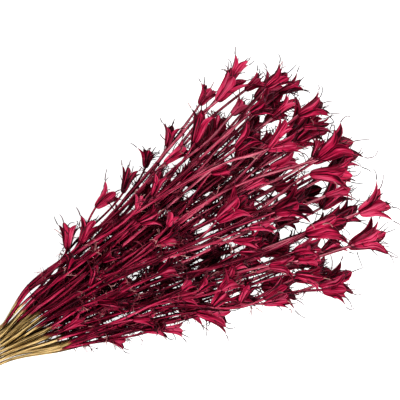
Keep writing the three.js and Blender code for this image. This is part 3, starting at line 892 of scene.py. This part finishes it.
def grow(line, rng):
    """Lays a line's fine course, and draws its tone, its seed and the places of its leaves."""
    line.base, line.tip = (np.array(s.place()) for s in line.stations[line.base_at:])
    line.length = np.linalg.norm(line.tip - line.base)
    line.axis = (line.tip - line.base) / line.length
    line.tone = rng.uniform(*(SEEN_TONES if line.head.seen else HIDDEN_TONES))
    line.seed = rng.uniform(0, SEED_SPAN)

    stem = line.main.lines[0]
    line.is_main = line is stem
    tail = line.main.tail if line.is_main else []
    stations = np.array(tail + [s.place() for s in line.stations[:line.base_at + 1]])
    first_slope = slope_at(stations if line.is_main else stem.run, stations[0, 0])
    line.run = smooth_run(stations, first_slope, line.axis[1:] / line.axis[0])
    lowest = box_low[2] + line.radius * (1 + STEM_RIB)
    line.run[:, 2] = np.maximum(line.run[:, 2], lowest)
    along = np.gradient(line.run, axis=0)
    along[-1] = line.axis
    line.along = unit(along)

    first = FIRST_NODE + rng.uniform(0, NODE_EVERY)
    nodes = np.arange(first, line.base[0] - NODE_CLEAR, NODE_EVERY)
    nodes = nodes[nodes > stations[0, 0] + NODE_CLEAR]
    nodes += rng.uniform(-NODE_SCATTER, NODE_SCATTER, len(nodes))
    line.nodes = np.clip(np.searchsorted(line.run[:, 0], nodes), 1, len(line.run) - 2)


def add_stem(surface, line, rng):
    run = line.run
    side, up = across_from(line.along)
    distance = np.append(0, np.cumsum(np.linalg.norm(np.diff(run, axis=0), axis=1)))
    radius = line.radius * (1 - STEM_TAPER * distance / distance[-1])
    if not line.is_main:
        radius *= 1 + ROOT_SWELL * np.exp(-distance / ROOT_SWELL_LENGTH)
    for node in line.nodes:
        radius *= 1 + NODE_SWELL * bump_at(run[:, 0], run[node, 0], NODE_SWELL_LENGTH)
    line.end_radius = radius[-1]
    if line.is_main:
        rows = [0, 0, *range(len(run))]
        run, side, up, radius, distance = (
            column[rows] for column in (run, side, up, radius, distance))
        run[0] += PITH_DEPTH * line.along[0]
        radius[:2] *= PITH

    facet = np.arange(STEM_FACETS)
    angle = 2 * np.pi * facet / STEM_FACETS
    on_rib = facet % 2 == 0
    reach = radius[:, None] * np.where(on_rib, 1 + STEM_RIB, 1 - STEM_RIB)
    points = run[:, None] + (reach * np.cos(angle))[..., None] * up[:, None]
    points = (points - (reach * np.sin(angle))[..., None] * side[:, None]).reshape(-1, 3)
    caps = np.stack([facet[::-1], (len(run) - 1) * STEM_FACETS + facet])
    around = np.tile(angle * line.radius, len(run))
    grain = np.stack(
        [around, np.repeat(distance, STEM_FACETS), np.full(len(around), line.seed)], axis=1)
    paler = np.interp(points[:, 0], PALER_STEMS, (0, 1))
    # Painted highlight and shade in stripes along the ribs, drawn at random per facet and partly the
    # stems' own streaks, and paler further from the band
    light = np.tile(rng.uniform(*STEM_RIDGES, STEM_FACETS), len(run)) + PALER_LIGHT * paler
    surface.add(points, [ring_faces(len(run), STEM_FACETS), caps], PLANT, grain,
                light=light, tone=line.tone, dyed=dye_at(points, line.dye_line), stem=paler)


rows_along = np.array(CUP_ROWS + tuple(CUP_ALONG + (1 - CUP_ALONG) * u for u in FREE_ROWS[:-1]))
in_cup = rows_along <= CUP_ALONG
freed = np.clip((rows_along - CUP_ALONG) / (1 - CUP_ALONG), 0, 1)
HALF_COLUMNS = len(RIB_ANGLES) + len(FLANK_SHARES)
MIDDLE = HALF_COLUMNS - 1
mirror = np.array([-1] * MIDDLE + [1] * HALF_COLUMNS)
mirrored = [abs(column - MIDDLE) for column in range(2 * MIDDLE + 1)]


def lobe_faces():
    """Faces of one lobe, whose points are the outer sheet, the inner sheet with every other column,
    the tip and the cup's floor."""
    rows, columns = len(rows_along), len(mirrored)
    outer = np.arange(rows * columns).reshape(rows, columns)
    inner = rows * columns + np.arange((rows - FLOOR_ROW) * (MIDDLE + 1)).reshape(-1, MIDDLE + 1)
    tip = inner[-1, -1] + 1
    floor = tip + 1
    free_outer = outer[len(CUP_ROWS) - 1:]
    free_inner = inner[len(CUP_ROWS) - 1 - FLOOR_ROW:]
    return [
        quads(outer),
        quads(inner)[:, ::-1],
        quads(np.stack([free_inner[:, 0], free_outer[:, 0]])),
        quads(np.stack([free_outer[:, -1], free_inner[:, -1]])),
        fan_faces(outer[-1], tip),
        fan_faces(inner[-1, ::-1], tip),
        fan_faces(inner[0], floor),
        np.array([[inner[-1, 0], outer[-1, 0], tip], [outer[-1, -1], inner[-1, -1], tip]]),
    ]


def lobe_light():
    """How light each point of a lobe is, with its painted highlight and painted shade."""
    half = np.array(RIB_LIGHT + FLANK_LIGHT)
    outer = np.tile(half[mirrored], (len(rows_along), 1))
    open_edge = np.minimum(1, freed / CREASE_FADE)
    edge = CREASE_LIGHT + (RIM_LIGHT - CREASE_LIGHT) * open_edge
    outer[:, 0] = edge
    outer[:, -1] = edge
    outer[:len(BASE_LIGHT)] *= np.array(BASE_LIGHT)[:, None]
    inner = INSIDE_LIGHT * outer[FLOOR_ROW:, ::2]
    return np.concatenate([outer.ravel(), inner.ravel(), [TIP_LIGHT, 0]])


def lobe_grain():
    """The way the fibres run: across, then along, as shares of the mouth and of the length."""
    columns = LOBE_FIBRES * np.arange(len(mirrored)) / MIDDLE
    outer = np.stack(np.meshgrid(rows_along, columns, indexing="ij")[::-1], -1)
    inner = outer[FLOOR_ROW:, ::2]
    ends = [(1, 1), (1, 0)]
    flat = np.concatenate([outer.reshape(-1, 2), inner.reshape(-1, 2), ends])
    return np.column_stack([flat, np.ones(len(flat))])


LOBE_FACES = lobe_faces()
LOBE_LIGHT = lobe_light()
LOBE_GRAIN = lobe_grain()


def pointed(u, point):
    power, acute = point
    return (1 - u**power) ** acute


def held(points):
    """The points of a head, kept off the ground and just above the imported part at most."""
    points[..., 2] = np.clip(points[..., 2], box_low[2], hair_high[2])
    return points


def add_head(surface, line, rng):
    """Adds the five lobes of a seed head and gives their tips, with the way each tip points."""
    mouth, end = line.head.mouth, line.end_radius
    flare = LOBE_FLARE * rng.uniform(*LOBE_FLARES, (LOBES, 1))
    curl = LOBE_CURL * rng.uniform(*LOBE_CURLS, (LOBES, 1))
    reach = rng.uniform(*LOBE_REACHES, (LOBES, 1))
    lean = LOBE_LEAN * mouth * rng.uniform(-1, 1, (LOBES, 1))
    skew = LOBE_SKEW * rng.uniform(-1, 1, (LOBES, 1))
    half = math.pi / LOBES
    u = freed

    grown = np.clip(rows_along / CUP_ALONG, 0, 1)
    cup_keel = end + (CUP_KEEL * mouth - end) * grown**CUP_SWELL
    crease = end + (CREASE * mouth - end) * grown**CREASE_SWELL
    keel = np.where(in_cup, cup_keel, mouth * (CUP_KEEL + flare * u + curl * u**CURL_LATE))
    width = (crease * math.sin(half) + LOBE_WIDEN * mouth * u) * pointed(u, WIDTH_POINT)
    depth = cup_keel[-1] - crease[-1] * math.cos(half) + LOBE_DEEPEN * mouth * u
    depth = np.where(in_cup, keel - crease * math.cos(half), depth * pointed(u, DEPTH_POINT))
    rib = RIB_RADIUS * mouth * np.minimum(1, RIB_START + grown) * (1 - (1 - RIB_END) * u**2)
    rib = np.minimum(rib, np.minimum(depth, width) / 2)

    radial, lateral = [], []
    for degrees in RIB_ANGLES:
        radial.append(keel - rib + rib * math.cos(math.radians(degrees)))
        lateral.append(np.broadcast_to(rib * math.sin(math.radians(degrees)), keel.shape))
    rib_out, rib_side = radial[-1], lateral[-1]
    fall = keel - depth - rib_out
    widen = width - rib_side
    for share in FLANK_SHARES:
        bulge = 4 * BULGE * share * (1 - share)
        radial.append(rib_out + fall * share + widen * bulge)
        lateral.append(rib_side + widen * share - fall * bulge)
    radial = np.stack(radial, -1)[..., mirrored]
    lateral = np.stack(lateral, -1)[..., mirrored] * mirror
    wave = EDGE_WAVE * mouth * np.sin(EDGE_WAVES * u + 2 * np.pi * skew)
    edge = (np.arange(len(mirrored)) / MIDDLE - 1) ** 2
    radial = radial + (wave * u)[..., None] * edge
    lateral = lateral * (1 + (skew * u)[..., None] * mirror) + (lean * u * u)[..., None]
    along = np.where(in_cup, rows_along, CUP_ALONG + (rows_along - CUP_ALONG) * reach)

    side, up = across_from(line.axis)
    angle = line.turn + 2 * half * np.arange(LOBES)[:, None]
    out = (np.cos(angle) * up - np.sin(angle) * side)[:, None, None]
    beside = (-np.sin(angle) * up - np.cos(angle) * side)[:, None, None]
    course = line.tip - line.base
    centre = (line.base + along[..., None] * course)[:, :, None]
    spread = radial[..., None] * out + lateral[..., None] * beside
    thinned = (1 - SHELL / np.maximum(keel, 2 * SHELL))[..., None, None]
    outer = held(centre + spread)
    inner = held(centre + spread * thinned)[:, FLOOR_ROW:, ::2]
    tip_reach = CUP_ALONG + (1 - CUP_ALONG) * reach
    tip_out = mouth * (CUP_KEEL + flare + curl)
    tips = held(line.base + tip_reach * course + tip_out * out[:, 0, 0] + lean * beside[:, 0, 0])
    floor = line.base + CUP_ROWS[FLOOR_ROW - 1] * course
    tones = line.tone + rng.uniform(-LOBE_TONES, LOBE_TONES, LOBES)
    for lobe in range(LOBES):
        points = np.concatenate([
            outer[lobe].reshape(-1, 3), inner[lobe].reshape(-1, 3), [tips[lobe], floor]])
        grain = LOBE_GRAIN * [mouth, line.length, line.seed + lobe]
        surface.add(points, LOBE_FACES, PLANT, grain, light=LOBE_LIGHT, tone=tones[lobe],
                    dyed=dye_at(points, line.dye_line))
    return tips, unit(tips - outer[:, -2, MIDDLE])


def add_hairs(surface, line, rng, kind, start, heading, length, thicker=1, tone=None):
    """Three-sided hairs that start in a heading, curl away from it and taper. Gives their courses
    and tones."""
    most, radii, rows, fine = kind
    turn = rng.uniform(-most, most, len(length))
    sideways = unit(np.cross(heading, rng.normal(size=heading.shape)))
    if tone is None:
        tone = rng.uniform(size=len(length))
    angle = (turn[:, None] * (np.arange(1, rows) / (rows - 1)) ** HAIR_CURVE)[..., None]
    steps = heading[:, None] * np.cos(angle) + sideways[:, None] * np.sin(angle)
    steps *= (length / (rows - 1))[:, None, None]
    courses = np.concatenate([np.zeros((len(start), 1, 3)), np.cumsum(steps, axis=1)], axis=1)
    courses = np.clip(start[:, None] + courses, hair_low, hair_high)

    along = unit(np.gradient(courses, axis=1) + NEVER_ZERO)
    side = unit(np.cross(HAIR_FRAME, along))[:, :, None]
    up = np.cross(along, side[:, :, 0])[:, :, None]
    radius = np.linspace(*np.multiply(radii, thicker), rows)[:, None, None]
    root = np.arange(HAIR_SIDES)
    angle = (2 * np.pi * root / HAIR_SIDES)[:, None]
    spread = radius * (np.cos(angle) * up - np.sin(angle) * side)
    points = (courses[:, :, None] + spread).reshape(-1, 3)
    each = rows * HAIR_SIDES
    offset = (np.arange(len(length)) * each)[:, None, None]
    walls = (ring_faces(rows, HAIR_SIDES) + offset).reshape(-1, 4)
    ends = (np.stack([root[::-1], each - HAIR_SIDES + root]) + offset).reshape(-1, HAIR_SIDES)
    surface.add(points, [walls, ends], HAIR, points, light=HAIR_LIGHT, tone=np.repeat(tone, each),
                fine=fine, dyed=dye_at(points, line.dye_line))
    return courses, tone


def add_head_hairs(surface, line, tips, headings, rng):
    """A style at the tip of each lobe, and dry threads in the mouth."""
    mouth = line.head.mouth
    length = mouth * rng.uniform(*STYLE_LENGTH, LOBES)
    add_hairs(surface, line, rng, STYLE, tips, headings, length)

    spread = rng.normal(size=(MOUTH_HAIRS, 3)) * MOUTH_HAIR_SPREAD
    start = line.base + CUP_ALONG * (line.tip - line.base) + spread * CUP_KEEL * mouth
    length = mouth * rng.uniform(*MOUTH_HAIR_LENGTH, MOUTH_HAIRS)
    add_hairs(surface, line, rng, MOUTH_HAIR, start, unit(line.axis + spread), length)


def add_leaves(surface, line, rng):
    """Thread leaves: at each node a few main threads, each with finer ones along it."""
    for node in line.nodes:
        along = line.along[node]
        side, up = across_from(along)
        x = line.run[node, 0]
        covered = depth_at(line.run[[node]], from_above=True)[0]
        deep = np.interp(covered, LEAFY_DEPTH, (0, 1))
        outside = np.interp(x, LEAFY, LEAFY_OUTSIDE)
        crowd = np.interp(x, LEAFY, LEAVES_AT_NODE)
        count = math.ceil(crowd * (outside + (1 - outside) * deep))
        # Coarser and longer deep in the bunch: partly a dark mass standing in for painted shade
        thicker = 1 + LEAF_COARSE * covered
        longer = SHORT_OUTSIDE + (1 - SHORT_OUTSIDE) * covered
        angle = rng.uniform(0, 2 * np.pi, (count, 1))
        ahead = rng.uniform(*LEAF_AHEAD, (count, 1))
        heading = unit(along * ahead + np.cos(angle) * up + np.sin(angle) * side)
        start = np.repeat(line.run[[node]], count, axis=0)
        length = longer * rng.uniform(*LEAF_LENGTH, count)
        threads, tone = add_hairs(surface, line, rng, LEAF, start, heading, length, thicker)

        leaf = np.repeat(np.arange(count), LEAFLETS)
        at = rng.integers(LEAFLET_FROM, threads.shape[1] - LEAFLET_FROM, len(leaf))
        start = threads[leaf, at]
        forward = unit(threads[leaf, at + 1] - start + NEVER_ZERO)
        heading = unit(forward + LEAFLET_SPREAD * unit(rng.normal(size=forward.shape)))
        length = length[leaf] * rng.uniform(*LEAFLET_LENGTH, len(leaf))
        add_hairs(surface, line, rng, LEAFLET, start, heading, length, thicker, tone[leaf])


def add_spray(main, node, materials):
    """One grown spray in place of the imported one."""
    rng = np.random.default_rng(LOOKS_SEED + int(node.split("_")[1]))
    surface = Surface()
    early = rng.uniform() < EARLY_DYE
    dye_line = EARLY_DYE_LINE if early else DYE_LINE
    dye_line += rng.uniform(-DYE_SPREAD, DYE_SPREAD)
    for line in main.lines:
        line.dye_line = dye_line
        grow(line, rng)
        add_stem(surface, line, rng)
        tips, headings = add_head(surface, line, rng)
        add_head_hairs(surface, line, tips, headings, rng)
        add_leaves(surface, line, rng)
    add_piece(surface.mesh(node + "_grown"), node, materials)


def new_object(name, data):
    made = bpy.data.objects.new(name, data)
    bpy.context.scene.collection.objects.link(made)
    return made


def add_piece(mesh, node, materials):
    for material in materials:
        mesh.materials.append(material)
    piece = new_object(mesh.name, mesh)
    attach(piece, "root")
    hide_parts(node)


# The elastic band, wound round the stems in turns
BAND_FACETS = 96
CROWN_STEPS = 7
BAND_FLAT = 0.55


def add_band(material):
    """Turns of elastic side by side, each with a rounded back."""
    surface = Surface()
    inside = stems_reach + STEM_GAP
    half = BAND_TURN / 2
    share = np.arange(CROWN_STEPS) / (CROWN_STEPS - 1)
    crown = np.sin(np.pi * share) ** BAND_FLAT
    profile_x = np.concatenate([-half * np.cos(np.pi * share), [half, -half]])
    profile_r = np.concatenate([inside + (NECK_HEIGHT - inside) * crown, [inside, inside]])
    angle = (2 * np.pi * np.arange(BAND_FACETS) / BAND_FACETS)[:, None]
    for turn in range(BAND_TURNS):
        x = profile_x + (turn - (BAND_TURNS - 1) / 2) * BAND_TURN
        y = profile_r * np.cos(angle)
        z = profile_r * np.sin(angle) + NECK_HEIGHT
        points = np.stack([np.broadcast_to(x, y.shape), y, z], -1).reshape(-1, 3)
        faces = ring_faces(BAND_FACETS + 1, len(profile_x)) % len(points)
        surface.add(points, [faces], 0, points)
    add_piece(surface.mesh("band_elastic"), "band", [material])


class Look:
    """A material whose nodes are added one after another."""

    def __init__(self, name):
        self.material = bpy.data.materials.new(name)
        self.material.use_nodes = True
        self.tree = self.material.node_tree
        self.shader = self.tree.nodes["Principled BSDF"]

    def add(self, kind, inputs=None, **settings):
        node = self.tree.nodes.new(kind)
        for name, value in settings.items():
            setattr(node, name, value)
        self.fill(node, inputs or {})
        return node

    def fill(self, node, inputs):
        for name, value in inputs.items():
            if isinstance(value, bpy.types.NodeSocket):
                self.tree.links.new(value, node.inputs[name])
            else:
                node.inputs[name].default_value = value

    def value(self, name):
        return self.add("ShaderNodeAttribute", attribute_name=name).outputs["Fac"]

    def math(self, operation, *inputs, clamp=False):
        node = self.add("ShaderNodeMath", dict(enumerate(inputs)), operation=operation,
                        use_clamp=clamp)
        return node.outputs[0]

    def blend(self, share, one, other):
        node = self.add("ShaderNodeMix", data_type="RGBA")
        self.fill(node, {0: share, 6: one, 7: other})
        return node.outputs[2]

    def ramp(self, share, stops):
        node = self.add("ShaderNodeValToRGB", {"Fac": share})
        elements = node.color_ramp.elements
        while len(elements) < len(stops):
            elements.new(1)
        for element, (at, colour) in zip(elements, stops):
            element.position = at
            element.color = (*colour, 1)
        return node.outputs["Color"]

    def gain(self, value, middle, times):
        """How far a value is from a middle, times a number."""
        return self.math("MULTIPLY", self.math("SUBTRACT", value, middle), times)

    def noise(self, inputs):
        return self.add("ShaderNodeTexNoise", inputs).outputs["Fac"]

    def fibres(self, across, along, detail):
        """Noise drawn out along the fibres of a piece."""
        grain = self.add("ShaderNodeAttribute", attribute_name="grain").outputs["Vector"]
        drawn = self.add("ShaderNodeVectorMath", {0: grain, 1: (across, along, 1)},
                         operation="MULTIPLY").outputs[0]
        return self.noise({"Vector": drawn, "Scale": 1, "Detail": detail,
                           "Roughness": FIBRE_ROUGHNESS})

    def finish(self, colour, grain, rough, bump, inputs=None):
        """Sets the shader's colour, and a roughness and a fine relief that follow a grain."""
        rough = self.add("ShaderNodeMapRange", {
            "Value": grain, "To Min": rough[0], "To Max": rough[1]})
        bump = self.add("ShaderNodeBump", {
            "Height": grain, "Strength": bump[0], "Distance": bump[1]})
        self.fill(self.shader, {
            "Base Color": colour, "Roughness": rough.outputs["Result"],
            "Normal": bump.outputs["Normal"], **(inputs or {})})
        return self.material


# Colours, linear, from the darkest to the lightest. The plant's ramps are read by a lightness that
# holds painted highlight and painted shade besides tone and fibres, so their light ends serve as
# painted highlight and their near-black ends as painted shade
CRIMSON = [
    (0, (0.012, 0.0, 0.002)),
    (0.28, (0.09, 0.0006, 0.009)),
    (0.48, (0.3, 0.003, 0.03)),
    (0.72, (0.49, 0.014, 0.066)),
    (1, (0.58, 0.062, 0.135)),
]
DYED_STEM = [
    (0, (0.012, 0.0, 0.002)),
    (0.28, (0.085, 0.001, 0.011)),
    (0.48, (0.25, 0.012, 0.042)),
    (0.72, (0.44, 0.06, 0.105)),
    (1, (0.62, 0.2, 0.25)),
]
STRAW = [
    (0, (0.02, 0.013, 0.005)),
    (0.2, (0.11, 0.065, 0.016)),
    (0.42, (0.4, 0.25, 0.07)),
    (0.8, (0.9, 0.64, 0.29)),
]
LEAF_COLOURS = [
    (0, (0.02, 0.001, 0.005)),
    (0.55, (0.1, 0.004, 0.016)),
    (0.8, (0.24, 0.03, 0.05)),
    (1, (0.6, 0.27, 0.26)),
]
STYLE_COLOURS = [
    (0, (0.02, 0.008, 0.012)),
    (0.88, (0.1, 0.02, 0.035)),
    (0.94, (0.36, 0.13, 0.13)),
    (1, (0.55, 0.3, 0.26)),
]
BAND_COLOURS = [(0.3, (0.42, 0.25, 0.11)), (0.7, (0.56, 0.36, 0.18))]

# The fibres' fineness across and along and their detail, and what the values do to the colours
FINE_FIBRES = (1, 0.05, 2)
BROAD_FIBRES = (0.35, 0.04, 3)
BROAD_SHARE = 0.7
FIBRE_MIDDLE = 0.85
FIBRE_ROUGHNESS = 0.6
FIBRE_LIGHT = 2.6
HALFWAY = 0.5
TONE_LIGHT = 0.5
# How much painted shade darkens the plant and the hairs deep in the bunch
HIDDEN_PAINTED_SHADE = 0.03
HAIR_PAINTED_SHADE = 0.2
RAGGED = 1.5
DYE_EDGE = (0.4, 0.6)

# Gloss, roughness between two ends, and relief by its strength and depth
PLANT_GLOSS = {"Specular IOR Level": 0.22, "Specular Tint": (1, 0.35, 0.45, 1)}
PLANT_ROUGHNESS = (0.38, 0.56)
PLANT_RELIEF = (0.4, 0.0004)
HAIR_GLOSS = {"Specular IOR Level": 0.12, "Specular Tint": (1, 0.6, 0.6, 1), "Roughness": 0.6}
BAND_WEAR = {"Scale": 900, "Detail": 4}
BAND_ROUGHNESS = (0.48, 0.66)
BAND_RELIEF = (0.25, 0.0002)


def plant_look():
    """Dry dyed stems and seed heads, with straw-coloured stems below the dye line."""
    look = Look("dyed_plant")
    fine = look.fibres(*FINE_FIBRES)
    broad = look.math("MULTIPLY", look.fibres(*BROAD_FIBRES), BROAD_SHARE)
    mottle = look.gain(look.math("ADD", fine, broad), FIBRE_MIDDLE, FIBRE_LIGHT)
    tone = look.gain(look.value("tone"), HALFWAY, TONE_LIGHT)
    # Painted shade: darker deep in the bunch and, on the dyed parts, towards the band
    painted_shade = look.math("MULTIPLY", look.value("hidden"), HIDDEN_PAINTED_SHADE)
    painted_shade = look.math("ADD", painted_shade, look.value("deep"))
    light = look.math("SUBTRACT", look.math("ADD", look.value("light"), tone), painted_shade)
    light = look.math("ADD", light, mottle, clamp=True)
    dyed = look.math("ADD", look.value("dyed"), look.gain(fine, HALFWAY, RAGGED))
    edge = look.add("ShaderNodeMapRange", {
        "Value": dyed, "From Min": DYE_EDGE[0], "From Max": DYE_EDGE[1]}).outputs["Result"]
    red = look.blend(look.value("stem"), look.ramp(light, CRIMSON), look.ramp(light, DYED_STEM))
    colour = look.blend(edge, look.ramp(light, STRAW), red)
    return look.finish(colour, fine, PLANT_ROUGHNESS, PLANT_RELIEF, PLANT_GLOSS)


def hair_look():
    """Dark thread leaves and paler, greyish styles."""
    look = Look("dyed_hair")
    # Painted shade: hairs deep in the bunch are darkened
    painted_shade = look.math("MULTIPLY", look.value("hidden"), HAIR_PAINTED_SHADE)
    tone = look.math("SUBTRACT", look.value("tone"), painted_shade)
    dyed = look.blend(look.value("fine"), look.ramp(tone, LEAF_COLOURS),
                      look.ramp(tone, STYLE_COLOURS))
    colour = look.blend(look.value("dyed"), look.ramp(tone, STRAW), dyed)
    look.fill(look.shader, {"Base Color": colour, **HAIR_GLOSS})
    return look.material


def band_look():
    """Tan rubber with faint wear and a matt, slightly dusty back."""
    look = Look("tan_elastic")
    wear = look.noise(BAND_WEAR)
    return look.finish(look.ramp(wear, BAND_COLOURS), wear, BAND_ROUGHNESS, BAND_RELIEF)


# Floor, camera and light
FLOOR_SIZE = 8
FLOOR_DROP = 0.0004
FLOOR_WHITE = 0.93
FLOOR_GREY = (0.5, 0.5, 0.5, 1)
CAMERA_DISTANCE = 3.8
CAMERA_SENSOR = 36
CAMERA_LEVEL = 60
AIM_PIXEL = (200, 200)
WORLD_LIGHT = 0.17

# Each light's place, size and power
LIGHTS = {
    "key": ((0.26, -0.42, 0.85), 0.3, 11.5),
    "fill": ((-0.6, 0.5, 1.2), 1, 8),
    "end": ((0.85, 0.42, 0.35), 0.5, 8),
}


def add_floor():
    """A plain white floor, lit evenly, that throws no light of its own on the bunch."""
    look = Look("floor_white")
    look.fill(look.shader, {
        "Base Color": FLOOR_GREY, "Roughness": 1, "Specular IOR Level": 0,
        "Emission Color": (1, 1, 1, 1), "Emission Strength": FLOOR_WHITE})
    mesh = bpy.data.meshes.new("floor")
    half = FLOOR_SIZE / 2
    corners = [(-half, -half), (half, -half), (half, half), (-half, half)]
    mesh.from_pydata([(x, y, -FLOOR_DROP) for x, y in corners], [], [(0, 1, 2, 3)])
    mesh.materials.append(look.material)
    floor = new_object("floor", mesh)
    floor.visible_diffuse = False
    floor.visible_glossy = False
    floor.visible_transmission = False


# The photo's own directions on the ground
image_right = Vector((AXIS_IN_PHOTO[0], -AXIS_IN_PHOTO[1], 0))
image_up = Vector((AXIS_IN_PHOTO[1], AXIS_IN_PHOTO[0], 0))
toward_viewer = Vector((0, 0, 1))
aim = (Vector((*to_bunch(*AIM_PIXEL), CAMERA_LEVEL)) + Vector(SHIFT)) * METRE


def placed(place):
    """A place given in metres right, up and toward the viewer from where the camera looks."""
    right, up, toward = place
    return aim + image_right * right + image_up * up + toward_viewer * toward


def add_camera():
    data = bpy.data.cameras.new("camera")
    camera = new_object("camera", data)
    data.sensor_width = CAMERA_SENSOR
    data.lens = CAMERA_SENSOR * CAMERA_DISTANCE / (PHOTO_SIDE * PIXEL * METRE)
    turned = Matrix((image_right, image_up, toward_viewer)).transposed()
    camera.matrix_world = Matrix.LocRotScale(
        placed((0, 0, CAMERA_DISTANCE)), turned.to_quaternion(), None)
    bpy.context.scene.camera = camera


def add_light(name, place, size, power):
    data = bpy.data.lights.new(name, "AREA")
    light = new_object(name, data)
    data.shape = "DISK"
    data.size = size
    data.energy = power
    light.location = placed(place)
    light.rotation_euler = (light.location - aim).to_track_quat("Z", "Y").to_euler()


def add_world():
    world = bpy.data.worlds.new("studio")
    world.use_nodes = True
    sky = world.node_tree.nodes["Background"]
    sky.inputs["Color"].default_value = (1, 1, 1, 1)
    sky.inputs["Strength"].default_value = WORLD_LIGHT
    bpy.context.scene.world = world


mains = spray_plan()
share_neck_places(mains)
lines = lay_lines(mains)
settle(lines)
turn_heads(lines)
cut_ends(mains)

plant = [plant_look(), hair_look()]
for number, main in enumerate(mains, start=1):
    add_spray(main, f"spray_{number:02d}", plant)
add_band(band_look())

add_floor()
add_camera()
for name, (place, size, power) in LIGHTS.items():
    add_light(name, place, size, power)
add_world()
bpy.context.scene.view_settings.view_transform = "Standard"
